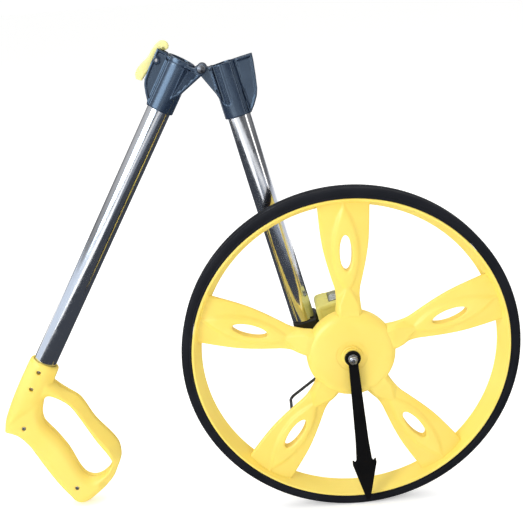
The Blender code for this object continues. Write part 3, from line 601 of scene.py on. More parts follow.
def spoke_back(x, r, width, to_hole):
    """How far the spoke stands towards the counter: shallower than the front, with a low spine."""
    flange = 3.4 - 1.2 * np.clip(x / width, 0, 1) ** 2.5
    spine = 1.2 * ramp(along_table(POD_WIDTHS, r) * 0.8 - x, -1.5, 1.5) * ramp(r, 58, 70)
    neck = np.clip(58 - r, 0, 20) * 0.12
    return flange + spine + neck - worn(to_hole, 1.4) * 0.9 - worn(width - x, 1.2) * 0.7


def half_spoke():
    """Points and faces of the right half of an upright spoke, open along its middle."""
    low, high = HOLE_CENTRE - HOLE_HALF_LENGTH, HOLE_CENTRE + HOLE_HALF_LENGTH
    rows = np.concatenate([
        np.linspace(SPOKE_START, low, 34)[:-1],
        HOLE_CENTRE - HOLE_HALF_LENGTH * np.cos(np.linspace(0, math.pi, 25)),
        np.linspace(high, SPOKE_END, 24)[1:],
    ])
    t = np.linspace(0, 1, 19)
    share = 0.5 * t + 0.25 * (1 - np.cos(math.pi * t))
    width = along_table(SPOKE_WIDTHS, rows)[:, None]
    part = np.clip(1 - ((rows - HOLE_CENTRE) / HOLE_HALF_LENGTH) ** 2, 0, 1)
    inner = (HOLE_HALF_WIDTH * np.sqrt(part))[:, None]
    x = inner + share * (width - inner)
    r = np.repeat(rows[:, None], len(t), axis=1)
    to_hole = (np.hypot(x / HOLE_HALF_WIDTH, (r - HOLE_CENTRE) / HOLE_HALF_LENGTH) - 1) * HOLE_HALF_WIDTH
    sides = (-spoke_front(x, r, width, to_hole), spoke_back(x, r, width, to_hole))
    points = np.concatenate([np.stack([x, side, r], -1).reshape(-1, 3) for side in sides])
    last, top, count = len(t) - 1, len(rows) - 1, x.size
    faces = []

    def add(*corners):
        faces.append([side * count + row * len(t) + column for row, column, side in corners])

    for row in range(top):
        up = row + 1
        for column in range(last):
            on = column + 1
            add((row, column, 0), (row, on, 0), (up, on, 0), (up, column, 0))
            add((up, column, 1), (up, on, 1), (row, on, 1), (row, column, 1))
        add((row, last, 0), (row, last, 1), (up, last, 1), (up, last, 0))
        if inner[row] > 0 or inner[up] > 0:
            add((up, 0, 0), (up, 0, 1), (row, 0, 1), (row, 0, 0))
    for column in range(last):
        on = column + 1
        add((0, on, 0), (0, column, 0), (0, column, 1), (0, on, 1))
        add((top, column, 0), (top, on, 0), (top, on, 1), (top, column, 1))
    return points, faces


def make_spoke(turn):
    points, faces = half_spoke()
    both = np.concatenate([points, points * [-1, 1, 1]])
    faces += [[q + len(points) for q in reversed(face)] for face in faces]
    spoke = mesh_piece("spoke", both, faces, WHEEL_FRAME @ Matrix.Rotation(turn, 4, "Y"))
    clean(spoke.data, 0.00001)
    return spoke


def mirrored(half):
    """A profile and its mirror image at negative heights, in one run."""
    return half + [(r, -h) for r, h in reversed(half)]


def make_wheel():
    hub = [
        (6.8, -12), (14, -12), (15, -12.4), (33, -12.2), (37.2, -11.2), (40.4, -8.6),
        (41.9, -5.4), (42, 3.5), (39, 6.6), (34, 7), (6.8, 7),
    ]
    wheel = lathe("wheel_moulding", WHEEL_FRAME, hub, 144, radius=2.4)
    rim = [
        (149.5, -9.3), (149.5, 9.3), (141.0, 9.3), (140.6, 8.4), (141.4, 6.5), (146.4, -6.6),
        (147.0, -8.2), (147.4, -9.3),
    ]
    rim = lathe("rim", WHEEL_FRAME, rim, 240, radius=0.6)
    spokes = [make_spoke(2 * math.pi * index / SPOKE_COUNT) for index in range(SPOKE_COUNT)]
    solid(wheel, "UNION", [rim, *spokes])
    wear(wheel, "yellow_plastic", "wheel", "wheel_spokes")
    tread = [
        (159.15, 0.3), (158.7, 0.5), (158.7, 1.0), (159.15, 1.2), (159.15, 3.6), (158.7, 3.8),
        (158.7, 4.3), (159.15, 4.5), (159.1, 6.9), (158.5, 8.1), (157.4, 8.95), (155.4, 9.25),
        (152.6, 9.2), (152.2, 8.9), (151.6, 9.1), (149.8, 9.3),
    ]
    turned("tyre_rubber", WHEEL_FRAME, mirrored(tread), 288, "tyre_rubber", "wheel", "tyre", radius=0.35)
    bush = [(4.3, -13.6), (9.4, -13.6), (10, -13.0), (10, -12.3), (6.5, -12.3), (6.5, -4), (4.3, -4)]
    turned("hub_front_bush", WHEEL_FRAME, bush, 72, "yellow_plastic", "wheel", "front_bush", radius=0.3)
    bush = [(4.3, -3.5), (6.5, -3.5), (6.5, 7.3), (4.3, 7.3)]
    turned("hub_rear_bush", WHEEL_FRAME, bush, 64, "steel", "wheel", "rear_bush", radius=0.3)


def threaded(radius, start, end, pitch=0.8, depth=0.35):
    """Profile points of a threaded stretch, as plain grooves."""
    points = []
    for index in range(int((end - start) / pitch)):
        place = start + pitch * index
        for share, cut in ((0.12, 0), (0.4, 0), (0.66, depth), (0.86, depth)):
            points.append((radius - cut, place + share * pitch))
    return points


def make_nut(name, y_low, y_high, across, bore, node, turn=0):
    """A hexagon nut with chamfered corners and a countersunk bore."""
    reach = across / math.sqrt(3)
    field = Field((-reach, y_low, -reach), (reach, y_high, reach), 0.24)
    half = (y_high - y_low) / 2
    radial = np.hypot(field.x, field.z)
    height = np.abs(field.y - (y_low + y_high) / 2)
    corners = arc(0, 0, reach, turn, turn + 300, 5)
    chamfer = (radial - across * 0.51 + (height - half + 0.9) * 1.7) / 2
    chamfer = np.where(height > half - 1.2, chamfer, -1)
    sink = (radial - bore - 0.6 + (half - height)) / 1.4
    nut = meet(slab(field.flat(corners), height - half, 0.25), chamfer, bore - radial, -sink)
    wear(field.piece(name, WHEEL_FRAME, nut), "steel", "lower_frame", node)


def ring_of(inner, outer, low, high):
    """The profile of a plain ring."""
    return [(inner, low), (outer, low), (outer, high), (inner, high)]


def make_axle():
    """The axle, what holds the pointer on its front end, and what holds its rear end to the bracket."""
    shoulder = -19.3
    end = shoulder - 6.2
    profile = [(0, end), (1.9, end), (2.5, end + 0.6)] + threaded(2.5, end + 0.7, shoulder)
    profile += [(2.4, shoulder), (3.8, shoulder), (4, shoulder + 0.3), (4, 56)]
    profile += threaded(4, 57, 69, 1.0, 0.4) + [(3.4, 70.6), (0, 70.6)]
    turned("axle_rod", WHEEL_FRAME, profile, 48, "steel", "lower_frame", "axle", closed=False)
    spacer = [(4.15, -16.5), (8.2, -16.5), (8.6, -16.1), (8.6, -14.2), (8.2, -13.9), (4.15, -13.9)]

    def add_ring(name, profile, look, node, radius):
        turned(name, WHEEL_FRAME, profile, 64, look, "lower_frame", node, radius=radius)

    add_ring("front_washer_plate", ring_of(2.8, 4.5, -20.2, -19.4), "steel", "front_washer", 0.15)
    make_nut("front_nut_hex", -25.0, -20.6, 7.4, 2.65, "front_nut", 10)
    add_ring("pointer_spacer_ring", spacer, "yellow_plastic", "pointer_spacer", 0.3)
    add_ring("rear_washer_plate", ring_of(4.15, 8, 63.8, 64.8), "steel", "rear_washer", 0.2)
    make_nut("rear_nut_hex", 65.1, 70.1, 13, 4.15, "rear_nut")
    make_nut("plate_nut_hex", 57.3, 60.2, 13, 4.15, "plate_nut")


def make_pointer():
    """A flat arrow hung on the axle, with a pressed ridge down its middle."""
    half = [
        (4.5, 6), (5.3, 42), (6.3, 85), (7.5, 105), (8.6, 107.5), (11.2, 105), (11.6, 110), (2.9, 145),
        (2.2, 149),
    ]
    points = [(x, -z) for x, z in half] + [(-x, -z) for x, z in reversed(half)]
    field = Field((-13, -19.2, -150), (13, -16.4, 8), 0.5)
    blade = slab(field.flat(points), np.abs(field.y + 17.9) - 1.1, 0.45)
    ridge = np.abs(field.x) - 1.6 - 0.004 * np.abs(field.z)
    ridge = meet(ridge, field.between_y(-19.15, -17), field.between_z(-100, -8))
    blade = melt(blade, ridge + 0.2, 0.5)
    boss = slab(field.across(0, 0, 7.5), field.between_y(-19.1, -16.8), 0.4)
    blade = carve(melt(blade, boss, 0.8), field.across(0, 0, 4.3), 0.2)
    wear(field.piece("pointer_arrow", POINTER_FRAME, blade), "black_sheet", "pointer", "pointer")


def make_bail():
    """Round wire: an eye wound on the boss, a cranked leg, a foot, a cranked leg and an eye on the axle."""
    near, far, foot, bend = 12, 62, -93.9, 5
    near_eye, far_eye, lap = 10.8, 5.8, 340
    knee, crank = Vector((12.9, -46.6)), 7
    slope = knee.x / (knee.y - foot)
    down = math.degrees(math.atan2(knee.y, knee.x))

    def leg(y, eye):
        way = knee.normalized()
        into, out = knee - way * crank, knee + Vector((-slope, -1)).normalized() * crank
        return [(x, y, z) for x, z in [tuple(way * (eye + 8)), *bent(into, knee, out, 6)]]

    def eye(y, radius, start, end, steps):
        return [(x, y, z) for x, z in arc(0, 0, radius, start, end, steps)]

    corner = []
    for step in range(9):
        turn = math.radians(90 * step / 8)
        z = bend - bend * math.sin(turn)
        corner.append((slope * z, near + bend - bend * math.cos(turn), foot + z))
    path = eye(near, near_eye, down + lap, down, 30) + leg(near, near_eye) + corner
    path += [(0, y, foot) for y in (near + bend + 6, (near + far) / 2, far - bend - 6)]
    path += [(x, near + far - y, z) for x, y, z in reversed(corner)]
    path += leg(far, far_eye)[::-1] + eye(far, far_eye, down, down + lap, 24)
    wear(wire("bail_wire", BAIL_FRAME, path, 1.5), "black_wire", "bail", "wire_bail")


# ---------------- the arms

# Radii of the tubes, the hinge barrels round them and their sockets; the latch pin from the hinge pin.
COLLAR = 12.8
TUBE, TUBE_BORE = 11.0, 9.8
SOCKET = 11.3
LATCH_PLACE = (-39, -10.6)


def make_tubes():
    for arm, place, low, high in (
        ("lower", shifted(LOWER_FRAME, TUBE_ASIDE, 0), -256, -5),
        ("upper", shifted(UPPER_FRAME, -TUBE_ASIDE, 0), -374, -6),
    ):
        tube = lathe(f"{arm}_arm_tube", place, ring_of(TUBE_BORE, TUBE, low, high), 128, "Z", radius=0.35)
        wear(tube, f"chrome_{arm}", f"{arm}_frame", f"{arm}_tube")


def hinge_outline(catch):
    """The flat sides from the pin. The half that takes the catch stands further out at its top."""
    if catch:
        flange = [(31, -50), (36, -44), (40.4, -37), (42.6, -31), (44.6, -20), (46.4, -8), (47, -0.5)]
        top = [(6, -0.5), (4.6, 0.4)]
    else:
        flange = [
            (31, -50), (32, -46.5), (36.2, -41), (40, -35), (41.8, -30), (42.5, -20), (42.5, -0.5),
        ]
        top = [(33, -0.8), (31.5, -2.2), (7, -2.2), (6.2, -2), (4.6, 0.4)]
    under = [(-2, -7), (7.6, -30), (13, -36.5), (19, -38), (19, -50)]
    return np.array(flange + top + arc(0, 0, 4.6, 30, 210, 12) + under)


def make_hinge_half(arm, place, fork):
    """A moulded socket: barrel, recessed flange, recessed fin to the pin, and the ear or the fork."""
    side, left, right = (-1, -48, 5) if fork else (1, -5, 48)
    field = Field((left, -13.5, -51), (right, 13.5, 5.5), 0.6)
    x, z, depth = field.x * side, field.z, np.abs(field.y)
    from_tube = np.hypot(x - TUBE_ASIDE, field.y)
    edge = field.flat(hinge_outline(not fork) * [side, 1])
    plate = slab(edge, depth - 7.6, 0.8)
    plate = carve(plate, meet(edge + 2.2, 31.2 - x, 6.2 - depth), 0.5)
    fin_side, fin_depth = (14.6, 12.3) if fork else (9.6, 11.2)
    fin = slab(np.maximum(edge, x - fin_side), depth - fin_depth, 1.6)
    fin_floor = fin_depth - 1.0 - 0.09 * (z + 30)
    fin_pocket = meet(edge + 2.6, x - fin_side + 1.3, fin_floor - depth, z + 2.8, 6.0 - np.hypot(x, z))
    fin = carve(fin, fin_pocket, 0.4)
    barrel_top = -2.2 if fork else -0.5
    barrel = slab(from_tube - COLLAR, field.between_z(-50, barrel_top), 0.9)
    rib = meet(np.abs(x - 29.8) - 0.8, depth - 8.8, field.between_z(-49, barrel_top - 0.3))
    half = melt(melt(plate, barrel, 0.8), melt(rib, fin, 0.4), 0.5)
    if fork:
        ring = slab(from_tube - COLLAR, field.between_z(-6, -0.4), 0.7)
        well = slab(from_tube - 10.4, field.between_z(-4, 3), 0.5)
        half = carve(melt(half, ring, 0.5), well, 0.6)
        groove = meet(np.abs(from_tube - COLLAR - 0.6) - 0.9, field.between_z(-6.2, -5.2))
        half = carve(half, groove, 0.3)
        boss = slab(field.across(*LATCH_PLACE, 3.2), depth - 8.6, 0.8)
        half = melt(half, boss, 0.6)
    else:
        valley = np.hypot((x - 13.4) / 4.2, np.minimum(z + 31, 0) / 6) - 1
        valley = np.maximum(valley, 0) * 3 - 0.01
        half = carve(half, meet(valley, COLLAR - 0.9 - from_tube, 5 - depth), 0.3)
        groove = meet(26.4 - x, x - 31.2 - 0.06 * (z + 20), field.between_z(-50, 6))
        half = carve(half, meet(groove, COLLAR - 0.7 - from_tube, 5 - depth), 0.3)
    half = carve(half, meet(from_tube - SOCKET, z + 5 if fork else z - 6), 0.5)
    half = carve(half, field.across(0, 0, 3.3), 0.3)
    half = carve(half, meet(np.abs(x) - 6.2, np.abs(z) - 26, depth - 5.5 if fork else 5.2 - depth), 0.4)
    if fork:
        half = carve(half, meet(32.7 - x, x - 50, depth - 4.2, np.abs(z) - 48), 0.4)
        half = carve(half, field.across(*LATCH_PLACE, 1.65), 0.3)
    else:
        half = carve(half, meet(33 - x, x - 50, depth - 4.7, np.abs(z) - 13), 0.4)
    half = field.piece(f"{arm}_hinge_moulding", place, half)
    wear(half, "black_plastic", f"{arm}_frame", f"{arm}_hinge")


LATCH_EDGE = [
    (-1.5, 8.8), (3.2, 10.9), (4.8, 14.2), (2.4, 17.4), (-1.9, 17.9), (-5.2, 15.4), (-7.5, 8), (-8.6, -2),
    (-11.4, -9), (-12.9, -16), (-12.4, -20.5, "c"), (-9.6, -23.5, "c"), (-4.5, -22.5, "c"), (-2.6, -12),
    (3.6, -3.5), (3.8, 2), (1.5, 5.5),
]


def make_hinge():
    make_hinge_half("upper", UPPER_FRAME, True)
    make_hinge_half("lower", LOWER_FRAME, False)
    rivet = mirrored([
        (0, -13.3), (1.2, -13.2), (1.7, -12.9), (2.8, -12.8), (3.5, -12.5), (3.8, -12.1), (3.8, -11.2),
        (3, -11.2),
    ])
    turned("hinge_rivet", LOWER_FRAME, rivet, 56, "dark_steel", "lower_frame", "hinge_pin", closed=False)


def make_latch():
    """The lever with its thumb grip and spring notch, and its pin."""
    field = Field((-14, -4, -25), (6, 4, 21.5), 0.45)
    lever = slab(field.flat(outline(LATCH_EDGE)), np.abs(field.y) - 3.7, 1.5)
    teeth = np.abs(np.mod(field.z + 22, 3) - 1.5) - 0.45
    dents = meet(teeth, field.between_z(-21.5, -10), field.x + 10.6 - 0.1 * (field.z + 16))
    notch = meet(field.across(1.6, 11.6, 1.5), 1.4 - np.abs(field.y))
    lever = carve(carve(lever, dents + 0.3, 0.5), notch, 0.5)
    lever = carve(lever, field.across(0, 0, 1.8), 0.3)
    lever = field.piece("latch_lever_moulding", LATCH_FRAME, lever)
    wear(lever, "pale_yellow_plastic", "latch", "latch_lever")
    pin = mirrored([(0, -9.1), (1.2, -9.1), (1.5, -8.8)])
    turned("latch_pin_rod", LATCH_FRAME, pin, 32, "steel", "upper_frame", "latch_pin", closed=False)


# ---------------- the hand grip

HANDLE_EDGE = [
    (-14, 0, "c"), (-14.2, -40), (-11.6, -75), (-7.1, -89.4, "c"), (6, -88), (20, -92.6), (31.3, -100),
    (49.3, -111.6), (65.3, -121), (79.5, -127.6), (88.5, -131), (97.5, -126.8), (105, -111), (110.8, -92),
    (110.4, -77), (108.1, -63.5), (98, -50.5), (68, -36.8), (45, -22.3), (27, -20.6), (15.5, -18, "c"),
    (14, 0, "c"),
]
FINGER_HOLE = [
    (14.6, -42), (16.4, -35), (24, -33), (37, -34.2), (47.5, -39), (79, -59.5), (97.5, -70),
    (103, -76), (100.8, -89), (92.5, -98.6), (81, -98), (57.6, -80.2), (39.4, -70), (22, -61),
]
NECK_EDGE = [
    (-14, 20, "c"), (-14.2, -40), (-11.6, -75), (-7.1, -90, "c"), (-1.5, -77, "c"), (12, -53, "c"),
    (14.4, -45, "c"), (14.4, -30, "c"), (14, 20, "c"),
]
NECK_DEPTH = 14
GRIP_DEPTH = 11.7
SHORT_SCREW, LONG_SCREW = 5.6, 24
HANDLE_SCREWS = (
    (-0.8, -10.5, SHORT_SCREW), (-0.7, -30, SHORT_SCREW), (8.7, -74, LONG_SCREW), (82, -113, LONG_SCREW),
)


def handle_shape(field):
    """The D grip: a round neck on the tube, a slimmer grip, a guard with a bevelled outside."""
    raised = outline(HANDLE_EDGE)
    raised[:, 1] = np.where(raised[:, 1] > -1, 20, raised[:, 1])
    outer = field.flat(raised)
    hole = field.flat(outline(FINGER_HOLE))
    depth = np.abs(field.y)
    neck = slab(field.flat(outline(NECK_EDGE)), depth - NECK_DEPTH, 12.5)
    body = slab(np.maximum(outer, -hole), depth - GRIP_DEPTH, 9.5)
    guard = ramp(field.x, 14, 40) * ramp(field.z, -112, -96)
    bevel = (depth - GRIP_DEPTH + 0.8 * np.maximum(11 * guard + outer, 0)) / 1.28
    shape = melt(-melt(-body, -bevel, 1.0), neck, 0.5)
    top = field.z + 0.6 + 0.13 * (field.y + NECK_DEPTH)
    shape = -melt(-shape, -top, 3.5)
    bore = np.maximum(field.upright(0, 0, SOCKET), -53.9 - field.z)
    return carve(shape, bore, 0.8)


def make_handle():
    field = Field((-16, -14.5, -134), (112, 14.5, 1), 1.15)
    shape = handle_shape(field)
    for x, z, length in HANDLE_SCREWS:
        hole = field.across(x, z, 1.7)
        if length == SHORT_SCREW:
            hole = np.maximum(hole, field.y + NECK_DEPTH - length - 1)
        shape = carve(shape, np.maximum(hole, field.y - 11))
        shape = carve(shape, np.maximum(field.across(x, z, 2.1), field.y + 9.9), 0.4)
    for end, side in (("front", 1), ("rear", -1)):
        half = -melt(-shape, -(side * field.y + 0.2), 0.5)
        grip = field.piece(f"hand_grip_{end}", HANDLE_FRAME, half)
        wear(grip, "yellow_plastic", "upper_frame", f"handle_{end}_shell")
    room = (-1.6, -12.5, -0.4), (1.6, -10.2, 0.4)
    cut = (-1.1, -12.2, -0.25), (1.1, -10.5, 0.25)
    for number, (x, z, length) in enumerate(HANDLE_SCREWS, 1):
        tip = length - NECK_DEPTH
        profile = [
            (0, tip), (0.7, tip), (1.4, tip - 1.4), (1.4, -10.1), (1.9, -10.3), (1.9, -10.9), (1.6, -11.3),
            (0, -11.5),
        ]
        name, node, at = f"hand_grip_screw_{number}", f"handle_screw_{number}", shifted(HANDLE_FRAME, x, z)
        cross_screw(name, at, profile, 40, room, cut, 0.6, "upper_frame", node)


# ---------------- the counter

CASE_SCREWS = ((-15.4, 41.9), (15.4, 41.9), (-15.4, -15.4), (15.4, -15.4))


def make_bracket():
    """The black end piece: plug, shoulder block and the plate that carries the axle behind the counter."""
    axle = (53.5, -288.4)
    front, sheet_middle, back = 25 - TUBE_Y, 54 - TUBE_Y, 57 - TUBE_Y
    field = Field((7, -12, -302), (67, 22, -233), 0.7)
    block = [(8, -256.3), (8, -265.3), (19, -276.3), (31, -276.3), (33, -262.3), (31, -256.3)]
    middle, half = (front + back) / 2, (back - front) / 2
    shape = slab(field.flat(block), np.abs(field.y - middle) - half, 2.2)
    plate = [(13, -262.3), (31, -258.3), *arc(*axle, 11, 60, -130, 12), (17, -274.3)]
    sheet = slab(field.flat(plate), np.abs(field.y - sheet_middle) - 3, 0.8)
    plug = slab(field.upright(TUBE_ASIDE, 0, 9.5), field.between_z(-258, -234), 0.6)
    shape = melt(melt(shape, sheet, 2.5), plug, 0.5)
    boss = slab(field.across(*axle, 8.5), field.between_y(51.2 - TUBE_Y, back), 0.5)
    shape = carve(melt(shape, boss, 1), field.across(*axle, 4.15), 0.3)
    bracket = field.piece("axle_bracket_moulding", LOWER_FRAME, shape)
    wear(bracket, "soot_plastic", "lower_frame", "axle_bracket")


def case_outline(reach, top, radius):
    """The counter case from the front, with the axle at its origin."""
    side = reach - radius
    corners = ((side, top - radius), (-side, top - radius), (-side, -side), (side, -side))
    points = []
    for index, corner in enumerate(corners):
        points += arc(*corner, radius, 90 * index, 90 * index + 90, 6)
    return points


def make_case_half(end):
    """Half the counter case: hollow, with a window on top, ribbed sides, and a boss or screw posts."""
    low_y, high_y = (9.6, 31.85) if end == "front" else (32.15, 50)
    field = Field((-21, low_y, -21), (21, high_y, 47.5), 0.7)
    edge = field.flat(case_outline(20, 46.5, 4.5))
    hollow = field.flat(case_outline(18, 44.5, 3.4))
    if end == "front":
        shape = slab(edge, field.between_y(14, 45), 1.3)
        shape = carve(shape, np.maximum(hollow, 16 - field.y), 0.4)
        boss = slab(field.across(0, 0, 9), field.between_y(low_y, 15.5), 0.5)
        shape = melt(shape, boss, 1.2)
        shape = carve(shape, np.maximum(field.across(0, 0, 7.2), field.y - 18), 0.4)
        shape = carve(shape, meet(edge + 4.2, 12 - field.z, field.y - 14.5), 0.4)
        shape = np.maximum(shape, field.y - high_y)
    else:
        shape = slab(edge, field.between_y(19, high_y), 1.3)
        shape = carve(shape, np.maximum(hollow, field.y - 48), 0.4)
        for spot in CASE_SCREWS:
            post = slab(field.across(*spot, 3.2), field.between_y(30, 49), 0.3)
            shape = carve(np.minimum(shape, post), field.across(*spot, 1.5))
            shape = carve(shape, np.maximum(field.across(*spot, 2.8), 48 - field.y), 0.3)
        shape = carve(shape, field.across(0, 0, 4.3), 0.4)
        shape = carve(shape, field.across(0, DRUM_RISE, 2.5), 0.4)
        shape = np.maximum(shape, low_y - field.y)
    across, along = np.abs(field.x), np.abs(field.y - 34.5)
    shape = carve(shape, meet(across - 6.1, along - 13.1, 40 - field.z), 0.5)
    shape = carve(shape, meet(across - 8.2, along - 15, 45.9 - field.z), 0.4)
    ribs = np.maximum(np.abs(np.mod(field.z, 4) - 2) - 0.5, 19.5 - across)
    shape = carve(shape, meet(ribs, field.between_z(-12, 20), field.between_y(18, 46)), 0.4)
    case = field.piece(f"counter_{end}_case", COUNTER_FRAME, shape)
    wear(case, "khaki_plastic", "lower_frame", f"counter_{end}_shell")


def make_housing():
    make_case_half("front")
    make_case_half("rear")
    profile = [(0, 49.7), (2.0, 49.7), (2.4, 49.4), (2.4, 48.3), (1.2, 48.3), (1.2, 25), (0.7, 24), (0, 24)]
    room = (-2, 48.8, -0.4), (2, 50.4, 0.4)
    cut = (-1.3, 49, -0.27), (1.3, 50.2, 0.27)
    for number, (x, z) in enumerate(CASE_SCREWS, 1):
        name, node, at = f"counter_screw_{number}", f"housing_screw_{number}", shifted(COUNTER_FRAME, x, z)
        cross_screw(name, at, profile, 32, room, cut, 0.3, "lower_frame", node)


def digit_mesh(text):
    """A figure's flat face, a unit high, as points and faces."""
    curve = bpy.data.curves.new("figure", "FONT")
    curve.body = text
    curve.align_x = curve.align_y = "CENTER"
    curve.resolution_u = 3
    shape = put("figure", curve)
    mesh = applied(shape)
    drop(shape)
    points = [tuple(v.co)[:2] for v in mesh.vertices]
    return points, [list(p.vertices) for p in mesh.polygons]


def wrapped_figures(figures, y):
    """The ten figures round one drum, as points and faces of thin raised print."""
    ink_low, ink_high = 10.85, 11.0
    wide, tall = 4.4, 5.6
    points, faces = [], []
    for index, (flat, flat_faces) in enumerate(figures):
        middle = math.pi / 2 - 2 * math.pi * index / len(figures)
        low, high = len(points), len(points) + len(flat)
        for radius in (ink_low, ink_high):
            for u, v in flat:
                turn = middle - tall * v / radius
                points.append((radius * math.cos(turn), y + wide * u, radius * math.sin(turn)))
        sides = {}
        for face in flat_faces:
            faces.append([low + q for q in face])
            faces.append([high + q for q in reversed(face)])
            sides.update(dict.fromkeys(zip(face, face[1:] + face[:1])))
        faces += [[low + b, low + a, high + a, high + b] for a, b in sides if (b, a) not in sides]
    return points, faces


def make_drums():
    """Five number drums with the figures 0 to 9 round each."""
    figures = [digit_mesh(str(i)) for i in range(10)]
    for number in range(1, 6):
        body = f"drum_{number}"
        y = 19.5 + 5 * number
        low, high = y - 1.9, y + 1.9
        profile = [(2.3, low), (10.6, low), (10.9, y - 1.7), (10.9, y + 1.7), (10.6, high), (2.3, high)]
        drum = lathe(f"counter_drum_{number}", DRUM_FRAME, profile, 80)
        wear(drum, "white_plastic", body, f"number_drum_{number}")
        ink = mesh_piece(f"counter_figures_{number}", *wrapped_figures(figures, y), DRUM_FRAME)
        clean(ink.data)
        wear(ink, "digit_ink", body)


def make_knob():
    """The fluted reset knob, on the end of the drum shaft."""
    flutes = []
    for step in range(120):
        turn = 2 * math.pi * step / 120
        radius = 7.95 + 0.5 * math.cos(10 * turn)
        flutes.append((radius * math.cos(turn), radius * math.sin(turn)))
    low, high = 50.3, 58.3
    field = Field((-9, low, -9), (9, high, 9), 0.4)
    knob = slab(field.flat(flutes), field.between_y(low, high), 0.8)
    knob = carve(knob, slab(field.across(0, 0, 5.6), field.between_y(57.3, 60), 0.4), 0.3)
    knob = carve(knob, field.across(0, 0, 2.1), 0.2)
    wear(field.piece("reset_knob_moulding", DRUM_FRAME, knob), "black_plastic", "reset", "reset_knob")
    shaft = [(0, 52), (1.6, 52), (2, 51.6), (2, 16.3), (0, 16.3)]
    turned("drum_shaft_rod", DRUM_FRAME, shaft, 32, "steel", "reset", "drum_shaft", closed=False)


def dress_kept_nodes():
    """Materials for the CAD nodes that stay as they are, inside the counter and the latch."""
    pinions = [f"carry_pinion_{number}" for number in range(1, 5)]
    for look, nodes in (
        ("white_plastic", ["hub_gear", "idler_gear", "drum_gear", *pinions]),
        ("steel", ["idler_pin", "pinion_shaft", "latch_spring"]),
        ("clear_pane", ["counter_window"]),
    ):
        for node in nodes:
            paint(frame["nodes"][node].data, look)
            smooth(frame["nodes"][node].data)


# ---------------- studio


def make_floor():
    bm = bmesh.new()
    bmesh.ops.create_circle(bm, cap_ends=True, segments=96, radius=60)
    mesh = bpy.data.meshes.new("studio_floor")
    bm.to_mesh(mesh)
    bm.free()
    floor = put("studio_floor", mesh)
    floor.location = (0, 0, -0.0002)
    glow = {"Emission Color": (1, 1, 1, 1), "Emission Strength": 0.38}
    paper = Shader("floor_paper", (0.93, 0.93, 0.93), 0.75, others=glow)
    paper.bump(paper.noise(40, 3), 0.02, 0.0005)
    mesh.materials.append(paper.material)


def make_card(name, corner, along, up, glow):
    """A card that only shows in the bright metal and the glossy plastic, in metres."""
    corner, along, up = Vector(corner), Vector(along), Vector(up)
    mesh = bpy.data.meshes.new(name)
    mesh.from_pydata([corner, corner + along, corner + along + up, corner + up], [], [(0, 1, 2, 3)])
    card = put(name, mesh)
    sockets = {"Specular IOR Level": 0, "Emission Color": (*glow, 1), "Emission Strength": 1}
    mesh.materials.append(Shader(name, (0, 0, 0), 1, others=sockets).material)
    card.visible_camera = card.visible_diffuse = card.visible_shadow = False


def make_world():
    """White behind the object, and a room that is dim low down and bright overhead in its reflections."""
    world = bpy.data.worlds.new("studio_world")
    bpy.context.scene.world = world
    world.use_nodes = True
    nodes, link = world.node_tree.nodes, world.node_tree.links.new
    background = nodes["Background"]
    coordinates = nodes.new("ShaderNodeTexCoord")
    split = nodes.new("ShaderNodeSeparateXYZ")
    height = nodes.new("ShaderNodeValToRGB")
    link(coordinates.outputs["Generated"], split.inputs["Vector"])
    link(split.outputs["Z"], height.inputs["Fac"])
    stops = height.color_ramp.elements
    stops[0].position, stops[0].color = 0.0, (0.12, 0.125, 0.14, 1)
    stops[1].position, stops[1].color = 1.0, (1, 1, 0.98, 1)
    for position, shade in ((0.12, 0.18), (0.35, 0.65)):
        stops.new(position).color = (shade, shade, shade * 1.01, 1)
    path = nodes.new("ShaderNodeLightPath")
    whiten = nodes.new("ShaderNodeMix")
    whiten.data_type = "RGBA"
    factor, room, white = whiten.inputs[0], whiten.inputs[6], whiten.inputs[7]
    white.default_value = (1.2, 1.2, 1.2, 1)
    link(path.outputs["Is Camera Ray"], factor)
    link(height.outputs["Color"], room)
    link(whiten.outputs[2], background.inputs["Color"])
    background.inputs["Strength"].default_value = 0.85


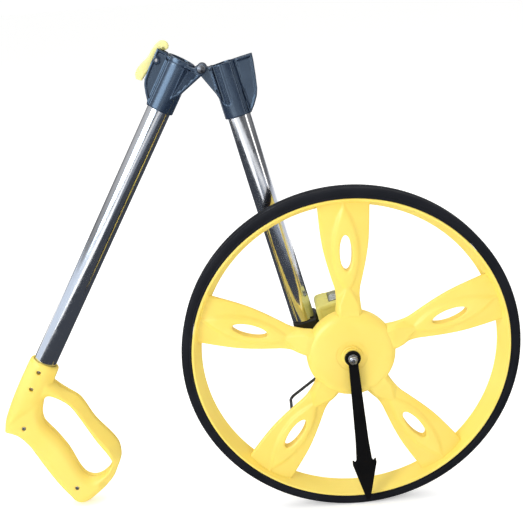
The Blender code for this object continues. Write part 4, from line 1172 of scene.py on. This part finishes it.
def make_light(name, place, aim, size, power, tone):
    data = bpy.data.lights.new(name, "AREA")
    data.shape = "RECTANGLE"
    data.size, data.size_y = size
    data.energy = power
    data.color = tone
    light = put(name, data)
    light.visible_camera = False
    light.location = place
    direction = Vector(aim) - Vector(place)
    light.rotation_euler = direction.to_track_quat("-Z", "Y").to_euler()


def make_camera():
    data = bpy.data.cameras.new("camera")
    data.lens = 61.95
    data.sensor_width = 36
    camera = put("camera", data)
    right = Vector((0.9969, -0.0206, -0.0761)).normalized()
    back = Vector((0.0025, -0.9567, 0.2912)).normalized()
    up = back.cross(right).normalized()
    right = up.cross(back)
    turn = Matrix((right, up, back)).transposed().to_4x4()
    camera.matrix_world = Matrix.Translation((0.0194, -0.80975, 0.4938)) @ turn
    bpy.context.scene.camera = camera
    bpy.context.scene.view_settings.view_transform = "Standard"


def make_studio():
    make_floor()
    make_world()
    make_card("dark_card", (-1.4, -0.9, 0.001), (2.8, 0, 0), (0, 2.0, 0), (0.06, 0.066, 0.08))
    make_card("grey_card", (-0.2, -2.4, 0.001), (1.6, 0, 0), (0, 1.65, 0), (0.30, 0.33, 0.38))
    make_card("left_card", (-1.6, -2.2, 0), (0, 3.2, 0), (0, 0, 0.5), (0.80, 0.88, 1.0))
    make_card("right_card", (1.7, -2.0, 0), (0, 3.0, 0), (0, 0, 0.35), (0.70, 0.73, 0.80))
    make_card("window_card", (-2.1, -1.1, 0.45), (1.3, -1.2, 0), (0, 0, 1.4), (3.3, 3.8, 4.3))
    make_light("key_light", (-1.7, -1.6, 1.3), (0, 0, 0.2), (0.8, 2.2), 29, (1, 0.99, 0.96))
    make_light("top_light", (-0.2, 0.5, 2.6), (0, 0, 0), (2.6, 2.6), 30, (1, 0.99, 0.97))
    make_light("right_light", (2.2, -0.9, 1.1), (0.1, 0, 0.25), (0.5, 1.8), 7, (1, 0.95, 0.88))
    make_camera()


make_studio()
make_wheel()
make_axle()
make_pointer()
make_bail()
make_tubes()
make_hinge()
make_latch()
make_handle()
make_bracket()
make_housing()
make_drums()
make_knob()
dress_kept_nodes()
